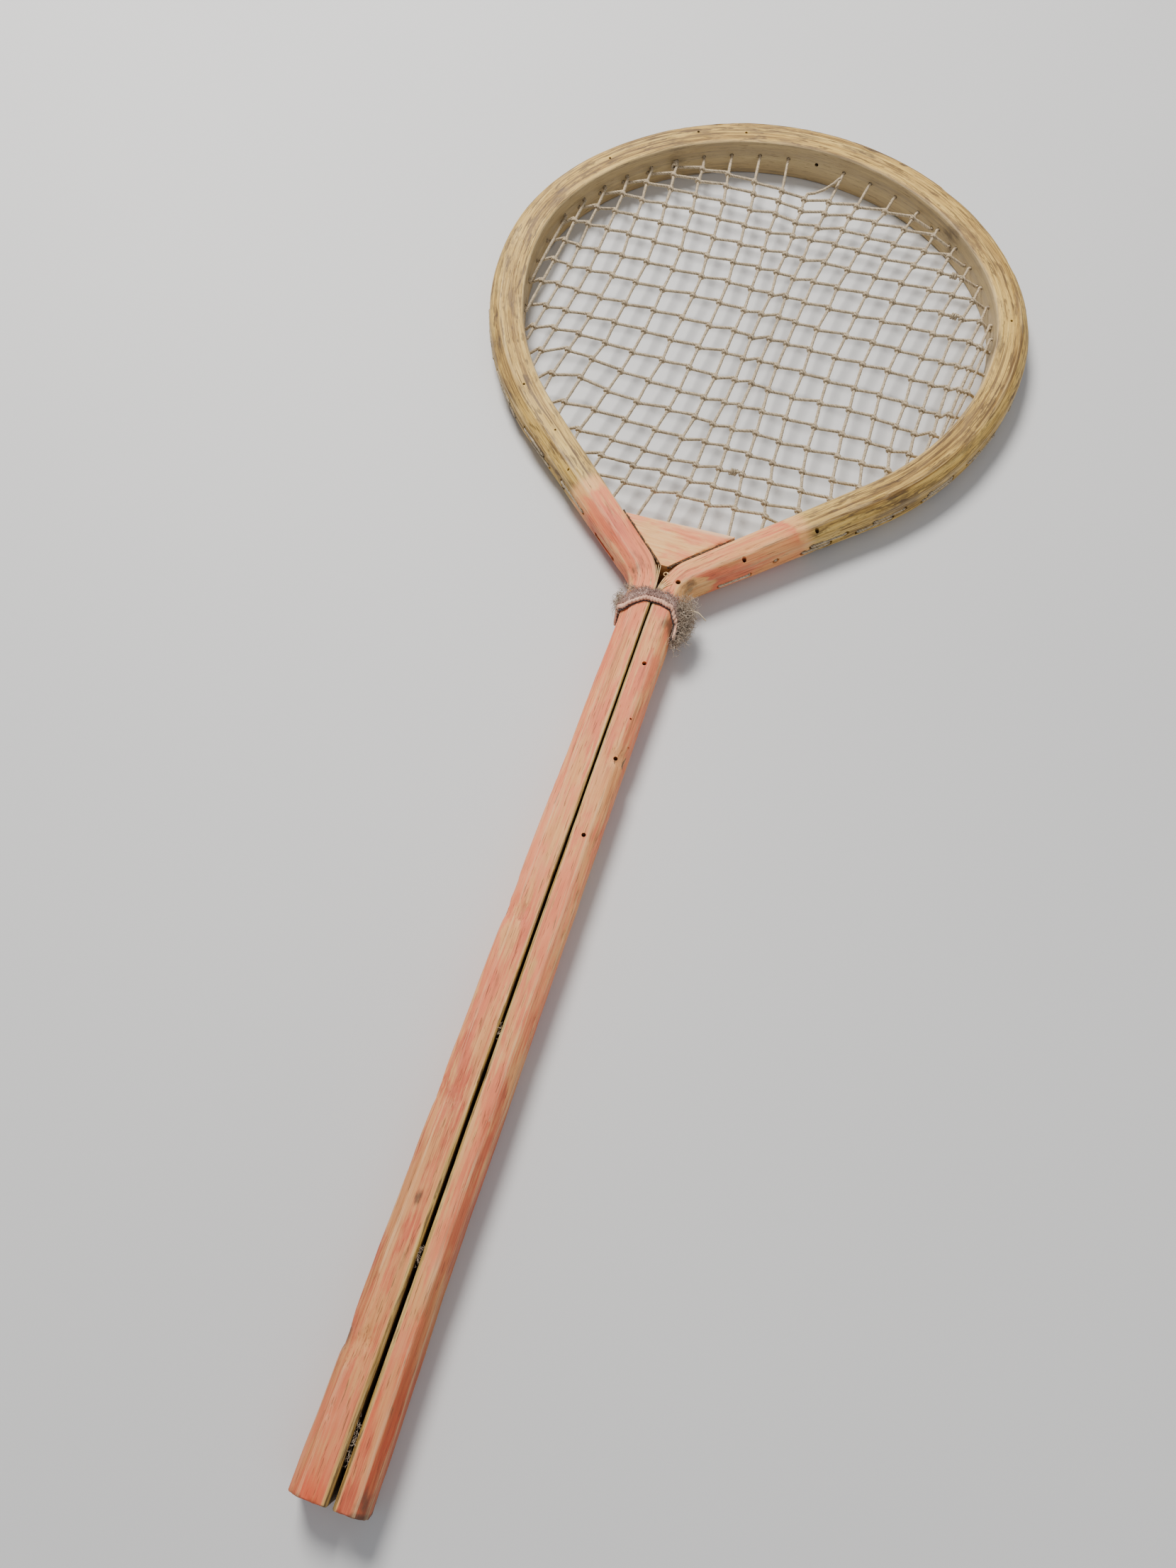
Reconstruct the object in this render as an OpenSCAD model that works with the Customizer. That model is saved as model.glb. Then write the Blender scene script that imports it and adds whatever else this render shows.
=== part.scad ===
// Bentwood racket: one bent stave, a throat wedge, a twine string bed and a throat ribbon.
// It lies flat: +Y runs from the butt to the crown, +X to the right, +Z up.
// The origin is on the resting plane, under the middle of the outline.

/* [Hoop] */
// Inside radius of the crown arc
crown_radius = 101; // [98:0.5:104]
// Half angle the crown arc covers
crown_half_angle = 58.5; // [56:0.5:61]
// Inside radius of each shoulder arc, above the widest point
shoulder_radius = 75.5; // [73:0.5:78]
// Inside radius of each flank arc, below the widest point
flank_radius = 113.8; // [110:0.1:118]
// Angle between each straight leg and the middle line
leg_angle = 46.2; // [45:0.1:48]
// Width of the stave round the hoop, in the plane of the head
hoop_width = 14.4; // [13:0.1:16]
// Thickness of the stave round the hoop
hoop_thick = 16; // [15:0.5:17]
// Size of the planed corners round the hoop
hoop_corner = 4.2; // [3:0.1:5]

/* [Throat] */
// Distance from the butt to the point where the two inner faces would meet
throat_y = 313.2; // [305:0.1:320]
// Width of the stave at the throat bend
neck_width = 10.4; // [10:0.1:11]
// Thickness of the stave at the throat bend
neck_thick = 13.4; // [12.6:0.1:13.6]
// Size of the planed corners at the throat bend
neck_corner = 3.2; // [2.6:0.1:3.6]
// Radius of the outer face at the throat bend
bend_radius = 11; // [10:0.5:13]
// Distance from the throat point to the wedge's top edge
wedge_height = 21.5; // [20:0.5:23]
// Glue gap between the wedge and each leg
glue_gap = 0.15; // [0.1:0.05:0.3]

/* [Handle] */
// Width of the left half at the butt
left_butt_width = 12.6; // [10:0.1:13]
// Width of the right half at the butt
right_butt_width = 9.9; // [9:0.1:13]
// Size of the planed corners at the butt
butt_corner = 3; // [2.6:0.1:3.6]
// Width of the slit at the butt
slit_butt = 1.6; // [1:0.1:2]
// Width of the slit at the throat
slit_neck = 0.6; // [0.4:0.1:0.8]
// Size of the bevel on the slit's edges at the butt
slit_bevel = 1.6; // [1:0.1:2]
// Length over which the slit's bevel fades out
bevel_length = 150; // [80:5:200]

/* [String bed] */
// Radius of the twine
twine_r = 0.6; // [0.5:0.05:0.7]
// Radius of the drilled string holes
string_hole_r = 0.8; // [0.8:0.05:0.9]
// Number of main strings
main_count = 22; // [20:2:22]
// Number of cross strings
cross_count = 17; // [15:1:17]
// Lean of the middle mains from the middle line
main_lean = 2.5; // [2:0.1:3]
// How much more the right mains lean than the left ones
main_fan = 2.2; // [1.5:0.1:2.5]
// How much more the outermost mains lean than the middle ones
main_splay = 3.2; // [2:0.1:3.5]
// How far the mains are drawn in towards the middle of the bed
main_waist = 10.6; // [0:0.2:11]
// Tilt of the crosses
cross_tilt = -0.9; // [-1.5:0.1:0]
// Depth of the twine's centre below the outer face in its groove
groove_depth = 0.6; // [0.55:0.05:0.65]
// Radius of the grooves cut in the outer face between two holes
groove_r = 0.95; // [0.9:0.05:0.95]

/* [Binding] */
// Width of the velvet ribbon
ribbon_width = 5.2; // [4:0.1:5.4]
// Thickness of the velvet ribbon
ribbon_thick = 0.7; // [0.5:0.05:0.8]
// Width of the ribbon's corded edge
cord_edge_width = 2; // [1.5:0.1:2.4]
// Thickness of the ribbon's corded edge
cord_edge_thick = 1; // [0.8:0.05:1.1]

/* [Hidden] */
$fn = 80;
mid_z = hoop_thick / 2;
string_offset = 1;
main_z = mid_z + string_offset;
cross_z = mid_z - string_offset;
wrap_r = 2 * twine_r + 0.05;
wrap_shift = 0.95;
mains_reach = 97;
mains_spread = 78;
mains_side_shift = 6.2;
waist_at = 0.33;
mains_ref_y = 141.8;
crosses_mid_y = 124.0;
crosses_half_span = 86.2;
crosses_even_out = 14.8;
wall_clear = 3.3;
wedge_peg_depth = 5;
wedge_hole_spare = 0.2;
wedge_side_wood = 2;
wedge_inset = 0.3;
wedge_blunt = 1;
hole_mouth = 0.9;
hole_beyond = 2;
lead_length = 2.1;
ribbon_gap = 0.1;
edge_gap = 0.05;
tiny = 0.0001;
cord_sides = 6;
cross_cord_sides = 5;

// Extra turns of twine on the crosses: which cross, and after which of its crossings
splices = [[2, 5], [11, 16], [13, 13]];
splice_past_wrap = 0.62;
turn_gap = 0.1;
turn_r = 0.9 * twine_r;

// The main that ends in a knot, and how far the knot is from the crown's wall
tie_off_main = 5;
tie_off_distance = 3.2;

// Where the parted main's loose end goes from its last crossing
loose_curl = [[0.5, 4, 0], [3.5, 5, 0.4], [7, 7.5, 1.2], [10.2, 11, 2.2], [12.2, 14.2, 3]];

// Every other length of the stave is a hair smaller and runs a little way into its neighbours
let_in = 0.03;
lap_angle = 0.5;
lap = 0.3;

// Arc centres and the points where the pieces of the stave meet
shoulder_step = crown_radius - shoulder_radius;
shoulder_rise = 90 - crown_half_angle;
flank_x = shoulder_step * cos(shoulder_rise) + shoulder_radius - flank_radius;
leg_end_x = flank_x + flank_radius * cos(leg_angle);
leg_run = (leg_end_x - slit_neck / 2) / sin(leg_angle);
leg_end_y = throat_y + leg_run * cos(leg_angle);
side_y = leg_end_y + flank_radius * sin(leg_angle);
crown_y = side_y - shoulder_step * sin(shoulder_rise);
total_length = crown_y + crown_radius + hoop_width;
bend_flat_r = bend_radius + neck_width;
bend_tangent = bend_flat_r * tan(leg_angle / 2);
bend_y = throat_y - bend_tangent;
wedge_y = throat_y + wedge_height;
wedge_half = slit_neck / 2 + wedge_height * tan(leg_angle);

// Inside outline as arcs: centre x, centre y, radius, first angle, last angle
inner_arcs = [
    [0, crown_y, crown_radius, shoulder_rise, 180 - shoulder_rise],
    [flank_x + flank_radius - shoulder_radius, side_y, shoulder_radius, 0, shoulder_rise],
    [-(flank_x + flank_radius - shoulder_radius), side_y, shoulder_radius, 180 - shoulder_rise, 180],
    [flank_x, side_y, flank_radius, -leg_angle, 0],
    [-flank_x, side_y, flank_radius, 180, 180 + leg_angle]
];

function heading(v) = let (a = atan2(v.y, v.x)) a < -90 ? a + 360 : a;
function reach(p, d, c, r) = let (b = (p - c) * d) -b + sqrt(max(0, b * b - (p - c) * (p - c) + r * r));

// Where a line from p along d meets an arc of the inside wall: point and outward normal
function arc_hits(p, d) = [
    for (a = inner_arcs)
        let (c = [a[0], a[1]], q = p + reach(p, d, c, a[2]) * d, h = heading(q - c))
            if (h >= a[3] - tiny && h < a[4] + tiny) [q, (q - c) / a[2]]
];

// The same for the two straight legs
function leg_hits(p, d) = [
    for (side = [-1, 1])
        let (n = [side * cos(leg_angle), -sin(leg_angle)], v = [side * slit_neck / 2, throat_y])
            let (along = n * d, q = p + ((v - p) * n / max(along, tiny)) * d)
                if (along > 0 && q.y < leg_end_y && q.x * side > 0) [q, n]
];

function wall_hit(p, d) = concat(arc_hits(p, d), leg_hits(p, d))[0];

// Main strings, counted from the left: each one's chord from hole to hole
main_ref_y = throat_y + mains_ref_y;
function main_t(k) = (k - (main_count - 1) / 2) / ((main_count - 1) / 2);
function main_x(k) = let (t = main_t(k)) mains_reach * sin(mains_spread * t) + mains_side_shift * (1 - t * t);
function main_point(k) = [main_x(k), main_ref_y];
function main_angle(k) = let (t = main_t(k)) main_lean + main_fan * t + main_splay * t * t;
function main_dir(k) = [sin(main_angle(k)), cos(main_angle(k))];
function main_at(k, y) = main_point(k) + (y - main_ref_y) / main_dir(k).y * main_dir(k);
function in_wedge(k) = abs(main_at(k, wedge_y).x) < wedge_half - wedge_side_wood;
function main_top(k) = wall_hit(main_point(k), main_dir(k));
function main_foot(k) =
    in_wedge(k) ? [main_at(k, wedge_y), -main_dir(k)] : wall_hit(main_point(k), -main_dir(k));

// Cross strings, counted from the throat
cross_dir = [cos(cross_tilt), sin(cross_tilt)];
function cross_y(j) =
    let (t = (j - (cross_count - 1) / 2) / ((cross_count - 1) / 2))
        throat_y + crosses_mid_y + (crosses_half_span + crosses_even_out) * t - crosses_even_out * t * t * t;
function cross_end(j, side) = wall_hit([0, cross_y(j)], side * cross_dir);

// The crosses draw the mains together half way up the bed
function waist_pull(k) =
    let (t = main_t(k), s = t / waist_at)
        -2 * main_waist * s / (1 + s * s) * (1 - t * t);
function meeting(k, j) =
    let (p = main_point(k), d = main_dir(k), q = [0, cross_y(j)], n = [-cross_dir.y, cross_dir.x])
        let (m = p + ((q - p) * n / (d * n)) * d, top = main_top(k)[0].y, foot = main_foot(k)[0].y)
            let (s = (2 * m.y - top - foot) / (top - foot))
                m + waist_pull(k) * max(0, 1 - s * s) * cross_dir;
function tied(k, j) =
    let (m = meeting(k, j), a = cross_end(j, -1)[0], b = cross_end(j, 1)[0])
        (m - a) * cross_dir > wall_clear && (b - m) * cross_dir > wall_clear;
function crossings(j) = [for (k = [0:main_count - 1]) if (tied(k, j)) meeting(k, j)];
function ties(k) = [for (j = [0:cross_count - 1]) if (tied(k, j)) lift(meeting(k, j), main_z)];

// A string's way out through the wood, and its seat in the groove outside
function lift(p, z) = [p.x, p.y, z];
function mouth(hit, z) = lift(hit[0] - hole_mouth * hit[1], z);
function peg_end(k) = main_foot(k)[0] - wedge_peg_depth * main_dir(k);
function foot_seat(k) = in_wedge(k) ? lift(peg_end(k), main_z) : leg_seat(main_foot(k), main_z);

// The legs taper, so their outer face is nearer at the throat
function leg_part(y) = max(0, min(1, (y - bend_y) / (leg_end_y - bend_y)));
function wood_at(hit) = neck_width + (hoop_width - neck_width) * leg_part(hit[0].y);
function leg_seat(hit, z) = lift(hit[0] + (wood_at(hit) - groove_depth) * hit[1], z);

function low_main(k) = concat([foot_seat(k), mouth(main_foot(k), main_z)], ties(k));
function up_main(k) = concat(low_main(k), [mouth(main_top(k), main_z), leg_seat(main_top(k), main_z)]);
function turned(list) = [for (i = [len(list) - 1:-1:0]) list[i]];
function joined(lists) = [for (l = lists) for (p = l) p];

// The cross goes once right round each main it meets
climb = wrap_shift * [sin(main_lean), cos(main_lean)];
function wrap(m) = [
    lift(m + wrap_r * cross_dir - climb, main_z + wrap_r),
    lift(m + wrap_r * cross_dir - climb / 3, main_z - wrap_r),
    lift(m - wrap_r * cross_dir + climb / 3, main_z - wrap_r),
    lift(m - wrap_r * cross_dir + climb, main_z + wrap_r)
];
function cross_path(j) =
    let (c = crossings(j), a = cross_end(j, -1), b = cross_end(j, 1), first = c[0], last = c[len(c) - 1])
        concat(
            [leg_seat(a, cross_z), mouth(a, cross_z)],
            [lift(first - lead_length * wrap_r * cross_dir - climb, cross_z)],
            [lift(first - wrap_r * cross_dir - climb, main_z + wrap_r)],
            joined([for (m = c) wrap(m)]),
            [lift(last + wrap_r * cross_dir + climb, main_z + wrap_r)],
            [lift(last + lead_length * wrap_r * cross_dir + climb, cross_z)],
            [mouth(b, cross_z), leg_seat(b, cross_z)]
        );

// Round cord along a path, mitred at each turn
function unit(v) = v / norm(v);
function start_ring(p, d, r, n) =
    let (u = unit(cross(d, abs(d.z) < 0.9 ? [0, 0, 1] : [1, 0, 0])), v = cross(d, u))
        [for (i = [0:n - 1]) p + r * (cos(360 * i / n) * u + sin(360 * i / n) * v)];
function slide_ring(ring, d, p, n) = [for (q = ring) q + ((p - q) * n / (d * n)) * d];

module cord(path, r, sides) {
    count = len(path);
    dirs = [for (i = [0:count - 2]) unit(path[i + 1] - path[i])];
    planes = concat([dirs[0]], [for (i = [1:count - 2]) unit(dirs[i - 1] + dirs[i])], [dirs[count - 2]]);
    rings = [
        for (
            i = 0, ring = start_ring(path[0], dirs[0], r, sides);
            i < count;
            ring = i + 1 < count ? slide_ring(ring, dirs[i], path[i + 1], planes[i + 1]) : ring,
            i = i + 1
        ) ring
    ];
    halves = [
        for (i = [0:count - 2]) for (s = [0:sides - 1])
            let (a = i * sides, b = a + sides, n = (s + 1) % sides)
                for (half = [[a + s, a + n, b + n], [a + s, b + n, b + s]]) half
    ];
    first_cap = [for (s = [sides - 1:-1:0]) s];
    last_cap = [for (s = [0:sides - 1]) (count - 1) * sides + s];
    polyhedron(points = joined(rings), faces = concat(halves, [first_cap], [last_cap]), convexity = 10);
}

// Corners of the stave's section, shrunk by g: a flat face at r and planed corners on the other side
function section_points(r, w, t, c, side, g) =
    let (flat = r + side * g, out = r + side * (w - g), top = t / 2 - g, cut = c - (2 - sqrt(2)) * g)
        let (shelf = out - side * cut)
            [[flat, -top], [flat, top], [shelf, top], [out, top - cut], [out, cut - top], [shelf, -top]];

module hoop_arc(a, g) {
    extra = g > 0 ? lap_angle : 0;
    translate([a[0], a[1], mid_z])
        rotate([0, 0, a[3] - extra])
            rotate_extrude(angle = a[4] - a[3] + 2 * extra)
                polygon(section_points(a[2], hoop_width, hoop_thick, hoop_corner, 1, g));
}

// Straight tapered length of stave from y0 to y1 between two sections
module tapered_bar(y0, a, y1, b, side) {
    points = concat([for (p = a) [p.x, y0, p.y]], [for (p = b) [p.x, y1, p.y]]);
    right = side > 0;
    around = [for (i = [0:5]) let (n = (i + 1) % 6) right ? [i, i + 6, n + 6, n] : [i, n, n + 6, i + 6]];
    near = [for (i = [0:5]) right ? i : 5 - i];
    far = [for (i = [0:5]) right ? 11 - i : 6 + i];
    polyhedron(points = points, faces = concat(around, [near], [far]));
}

module leg(side) {
    start = [side * slit_neck / 2, throat_y] + bend_tangent * [side * sin(leg_angle), cos(leg_angle)];
    near = section_points(0, neck_width, neck_thick, neck_corner, side, let_in);
    far = section_points(0, hoop_width, hoop_thick, hoop_corner, side, let_in);
    translate([start.x, start.y, mid_z])
        rotate([0, 0, -side * leg_angle])
            tapered_bar(-lap, near, leg_run - bend_tangent + lap, far, side);
}

module throat_bend(side) {
    centre_x = side * (slit_neck / 2 + bend_flat_r);
    translate([centre_x, bend_y, mid_z])
        rotate([0, 0, side < 0 ? 0 : 180 - leg_angle])
            rotate_extrude(angle = leg_angle)
                polygon(section_points(bend_flat_r, neck_width, neck_thick, neck_corner, -1, 0));
}

module handle_half(side, butt_width) {
    near = section_points(side * slit_butt / 2, butt_width, hoop_thick, butt_corner, side, 0);
    far = section_points(side * slit_neck / 2, neck_width, neck_thick, neck_corner, side, let_in);
    translate([0, 0, mid_z])
        difference() {
            tapered_bar(0, near, bend_y + lap, far, side);
            for (face = [-1, 1]) {
                slit_edge_cut(side, face);
            }
        }
}

// Long wedge of wood taken off the slit's edge, deepest at the butt
module slit_edge_cut(side, face) {
    edge_x = side * slit_butt / 2;
    edge_z = face * hoop_thick / 2;
    over = 0.4;
    size = slit_bevel + 2 * over;
    x = edge_x - side * over;
    z = edge_z + face * over;
    top_drop = (hoop_thick - neck_thick) / 2 * bevel_length / bend_y;
    tip_x = edge_x - side * (slit_butt - slit_neck) / 2 * bevel_length / bend_y;
    tip = [tip_x, bevel_length, edge_z - face * top_drop];
    points = [[x, -over, z], [x + side * size, -over, z], [x, -over, z - face * size], tip];
    faces = side * face > 0
        ? [[0, 1, 2], [0, 3, 1], [1, 3, 2], [2, 3, 0]]
        : [[0, 2, 1], [0, 1, 3], [1, 2, 3], [2, 0, 3]];
    polyhedron(points = points, faces = faces);
}

module rod(a, b, r) {
    d = b - a;
    translate(a)
        rotate([0, acos(d.z / norm(d)), atan2(d.y, d.x)])
            cylinder(h = norm(d), r = r, $fn = 16);
}

// One drilled hole from inside the wall to outside it
module string_hole(hit, z) {
    rod(lift(hit[0] - hit[1], z), lift(hit[0] + (hoop_width + hole_beyond) * hit[1], z), string_hole_r);
}

// Index groups of the mains: left of the wedge, in the wedge, right of it
pegged = [for (k = [0:main_count - 1]) if (in_wedge(k)) k];
left_last = pegged[0];
broken = pegged[1];
right_first = pegged[len(pegged) - 1] + 1;
drilled_feet = [for (k = [0:main_count - 1]) if (!in_wedge(k)) k];
top_loops = concat(
    [for (k = [left_last:-2:1]) [k - 1, k]],
    [[broken + 1, broken + 2]],
    [for (k = [right_first:2:main_count - 2]) [k, k + 1]]
);
foot_loops = concat(
    [for (k = [left_last - 1:-2:1]) [k - 1, k]],
    [for (k = [right_first + 1:2:main_count - 2]) [k, k + 1]]
);

module stave() {
    color("burlywood")
        difference() {
            union() {
                for (a = inner_arcs) {
                    hoop_arc(a, a[2] == shoulder_radius ? let_in : 0);
                }
                for (side = [-1, 1]) {
                    leg(side);
                    throat_bend(side);
                }
                handle_half(-1, left_butt_width);
                handle_half(1, right_butt_width);
            }
            for (k = [0:main_count - 1]) {
                string_hole(main_top(k), main_z);
            }
            for (k = drilled_feet) {
                string_hole(main_foot(k), main_z);
            }
            for (j = [0:cross_count - 1]) {
                string_hole(cross_end(j, -1), cross_z);
                string_hole(cross_end(j, 1), cross_z);
            }
            for (p = top_loops) {
                rod(leg_seat(main_top(p[0]), main_z), leg_seat(main_top(p[1]), main_z), groove_r);
            }
            for (p = foot_loops) {
                rod(foot_seat(p[0]), foot_seat(p[1]), groove_r);
            }
            for (j = [0:cross_count - 2]) {
                side = j % 2 == 0 ? 1 : -1;
                here = leg_seat(cross_end(j, side), cross_z);
                next = leg_seat(cross_end(j + 1, side), cross_z);
                rod(here, next, groove_r);
            }
        }
}

module throat_wedge() {
    tip_y = throat_y + glue_gap / sin(leg_angle) + wedge_blunt;
    tip_half = slit_neck / 2 + (tip_y - throat_y) * tan(leg_angle) - glue_gap / cos(leg_angle);
    top_half = wedge_half - glue_gap / cos(leg_angle);
    wedge_thick = neck_thick - 2 * wedge_inset;
    outline = [[-tip_half, tip_y], [tip_half, tip_y], [top_half, wedge_y], [-top_half, wedge_y]];
    color("salmon")
        difference() {
            translate([0, 0, mid_z - wedge_thick / 2])
                linear_extrude(height = wedge_thick)
                    polygon(outline);
            for (k = pegged) {
                from = main_at(k, wedge_y + hole_beyond);
                to = peg_end(k) - wedge_hole_spare * main_dir(k);
                rod(lift(from, main_z), lift(to, main_z), string_hole_r);
            }
        }
}

module main_strings() {
    left = joined([for (k = [0:left_last]) (left_last - k) % 2 == 0 ? turned(up_main(k)) : up_main(k)]);
    centre = concat(up_main(broken + 1), turned(up_main(broken + 2)));
    right = joined([for (k = [right_first:main_count - 1])
        (k - right_first) % 2 == 0 ? up_main(k) : turned(up_main(k))]);
    color("tan") {
        cord(left, twine_r, cord_sides);
        cord(centre, twine_r, cord_sides);
        cord(right, twine_r, cord_sides);
    }
}

// The main that has parted at the crown, with its curled loose end
module broken_main() {
    top = lift(meeting(broken, cross_count - 1), main_z);
    color("tan")
        cord(concat(low_main(broken), [for (c = loose_curl) top + c]), twine_r, cord_sides);
}

module cross_strings() {
    path = joined([for (j = [0:cross_count - 1]) j % 2 == 0 ? cross_path(j) : turned(cross_path(j))]);
    color("wheat")
        cord(path, twine_r, cross_cord_sides);
}

// Two tight turns round a string, centred at p and lying along d
module turns(p, d) {
    for (s = [-1, 1]) {
        translate(p + s * twine_r * d)
            rotate([0, acos(d.z), atan2(d.y, d.x)])
                rotate_extrude()
                    translate([2 * twine_r + turn_gap, 0])
                        circle(r = turn_r);
    }
}

module span_knot(j, index) {
    c = crossings(j);
    a = wrap(c[index])[3];
    b = wrap(c[index + 1])[0];
    turns(a + splice_past_wrap * (b - a), unit(b - a));
}

module splice_knots() {
    color("tan")
        for (s = splices) {
            span_knot(s[0], s[1]);
        }
}

module tie_off_knot() {
    top = lift(main_top(tie_off_main)[0], main_z);
    along = lift(main_dir(tie_off_main), 0);
    color("tan")
        turns(top - tie_off_distance * along, along);
}

// Section of the closed handle just below the bend, grown by g
module neck_outline(g) {
    w = slit_neck / 2 + neck_width + g;
    t = neck_thick / 2 + g;
    c = neck_corner + g * (2 - sqrt(2));
    right = [[w - c, t], [w, t - c], [w, c - t], [w - c, -t]];
    left = [[c - w, -t], [-w, c - t], [-w, t - c], [c - w, t]];
    polygon(concat(right, left));
}

module neck_sleeve(y, width, thick) {
    translate([0, y + width, mid_z])
        rotate([90, 0, 0])
            linear_extrude(height = width)
                difference() {
                    neck_outline(ribbon_gap + thick);
                    neck_outline(ribbon_gap);
                }
}

module throat_binding() {
    color("thistle")
        neck_sleeve(bend_y - ribbon_width, ribbon_width, ribbon_thick);
}

module binding_edge() {
    color("pink")
        neck_sleeve(bend_y - ribbon_width - cord_edge_width - edge_gap, cord_edge_width, cord_edge_thick);
}

module placed() {
    translate([0, -total_length / 2, 0])
        children();
}

placed() stave();
placed() throat_wedge();
placed() main_strings();
placed() broken_main();
placed() cross_strings();
placed() splice_knots();
placed() tie_off_knot();
placed() throat_binding();
placed() binding_edge();
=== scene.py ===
import math

import bmesh
import bpy
import numpy as np
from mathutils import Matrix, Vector


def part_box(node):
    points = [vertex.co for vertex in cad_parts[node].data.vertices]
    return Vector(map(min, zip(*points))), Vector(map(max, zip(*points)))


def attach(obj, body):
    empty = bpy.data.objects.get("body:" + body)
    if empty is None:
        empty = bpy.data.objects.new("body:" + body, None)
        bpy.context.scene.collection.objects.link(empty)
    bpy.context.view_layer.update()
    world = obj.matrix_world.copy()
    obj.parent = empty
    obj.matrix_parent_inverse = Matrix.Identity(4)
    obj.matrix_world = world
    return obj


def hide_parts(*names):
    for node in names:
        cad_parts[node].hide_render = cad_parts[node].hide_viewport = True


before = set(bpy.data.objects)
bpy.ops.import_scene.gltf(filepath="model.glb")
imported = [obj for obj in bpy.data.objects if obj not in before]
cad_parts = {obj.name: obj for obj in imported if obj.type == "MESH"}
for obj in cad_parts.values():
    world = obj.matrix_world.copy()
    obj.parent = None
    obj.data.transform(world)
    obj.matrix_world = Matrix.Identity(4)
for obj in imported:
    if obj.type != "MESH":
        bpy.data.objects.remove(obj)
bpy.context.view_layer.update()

# Lengths below are in millimetres, measured from the butt along the racket. to_frame() makes them metres in the frame.
MM = 0.001
STAVE_LOW, STAVE_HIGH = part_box("stave")
BUTT_Y = STAVE_LOW.y
TOP_Z = STAVE_HIGH.z / MM
MID_Z = TOP_Z / 2

CROWN_R = 101.0
CROWN_HALF = 58.5
SHOULDER_R = 75.5
FLANK_R = 113.8
LEG_ANGLE = math.radians(46.2)
THROAT_Y = 313.2
NECK_W = 10.4
NECK_T = 13.4
NECK_CORNER = 3.2
BEND_R = 11.0
WEDGE_H = 21.5
SLIT_BUTT = 1.6
SLIT_NECK = 0.6
TWINE_R = 0.64
HOLE_R = 0.80
HOLE_FLARE = 1.55
GROOVE_R = 0.8
SEAT_DEPTH = 0.1

SHOULDER_RISE = math.radians(90 - CROWN_HALF)
STEP = CROWN_R - SHOULDER_R
FLANK_X = STEP * math.cos(SHOULDER_RISE) + SHOULDER_R - FLANK_R
LEG_END_X = FLANK_X + FLANK_R * math.cos(LEG_ANGLE)
LEG_RUN = (LEG_END_X - SLIT_NECK / 2) / math.sin(LEG_ANGLE)
LEG_END_Y = THROAT_Y + LEG_RUN * math.cos(LEG_ANGLE)
SIDE_Y = LEG_END_Y + FLANK_R * math.sin(LEG_ANGLE)
CROWN_Y = SIDE_Y - STEP * math.sin(SHOULDER_RISE)
BEND_FLAT_R = BEND_R + NECK_W
BEND_RUN = BEND_FLAT_R * math.tan(LEG_ANGLE / 2)
BEND_Y = THROAT_Y - BEND_RUN
WEDGE_Y = THROAT_Y + WEDGE_H
WEDGE_HALF = SLIT_NECK / 2 + WEDGE_H * math.tan(LEG_ANGLE)


def to_frame(points):
    p = np.asarray(points, float)
    out = p * MM
    out[:, 1] += BUTT_Y
    return out


def lattice(ix, iy, seed):
    h = (ix * 374761393 + iy * 668265263 + seed * 974634777) & 0xFFFFFFFF
    h = ((h ^ (h >> 13)) * 1274126177) & 0xFFFFFFFF
    return ((h ^ (h >> 16)) & 0xFFFF) / 32767.5 - 1


def noise(x, y, seed):
    """Smooth noise from -1 to 1, the same on each run."""
    x, y = np.broadcast_arrays(np.asarray(x, float), np.asarray(y, float))
    ix, iy = np.floor(x).astype(np.int64), np.floor(y).astype(np.int64)
    fx, fy = x - ix, y - iy
    fx, fy = fx * fx * (3 - 2 * fx), fy * fy * (3 - 2 * fy)
    a = lattice(ix, iy, seed) * (1 - fx) + lattice(ix + 1, iy, seed) * fx
    b = lattice(ix, iy + 1, seed) * (1 - fx) + lattice(ix + 1, iy + 1, seed) * fx
    return a * (1 - fy) + b * fy


def smooth(edge0, edge1, x):
    t = np.clip((np.asarray(x, float) - edge0) / (edge1 - edge0), 0, 1)
    return t * t * (3 - 2 * t)


def bell(x, middle, width):
    return np.exp(-((x - middle) / width) ** 2)


def unit(v):
    return v / np.linalg.norm(v)


def between(low, high):
    """The faces between two closed rings of point numbers, or between rows of such rings."""
    return np.stack([low, np.roll(low, -1, -1), np.roll(high, -1, -1), high], -1).reshape(-1, 4).tolist()


def tube_faces(rings, sides, base):
    """The faces of a tube with a cap at each end."""
    idx = base + np.arange(rings * sides).reshape(rings, sides)
    return between(idx[:-1], idx[1:]) + [idx[0][::-1].tolist(), idx[-1].tolist()]


def make_object(name, verts, faces, material, nodes, slot):
    mesh = bpy.data.meshes.new(name)
    mesh.from_pydata([tuple(v) for v in to_frame(verts)], [], [tuple(f) for f in faces])
    mesh.validate()
    obj = bpy.data.objects.new(name, mesh)
    bpy.context.scene.collection.objects.link(obj)
    mesh.polygons.foreach_set("use_smooth", [True] * len(mesh.polygons))
    mesh.materials.append(material)
    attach(obj, "root")
    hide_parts(*nodes)
    return obj


def put_grain(mesh, values):
    """Where each point lies in the material, in millimetres with the grain first."""
    layer = mesh.attributes.new("grain", "FLOAT_VECTOR", "POINT")
    layer.data.foreach_set("vector", (np.asarray(values) * MM).astype(np.float32).ravel())


def put_float(mesh, name, values):
    layer = mesh.attributes.new(name, "FLOAT", "POINT")
    layer.data.foreach_set("value", np.asarray(values, np.float32).ravel())


def outward(obj):
    bm = bmesh.new()
    bm.from_mesh(obj.data)
    bmesh.ops.recalc_face_normals(bm, faces=bm.faces)
    bm.to_mesh(obj.data)
    bm.free()


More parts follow.
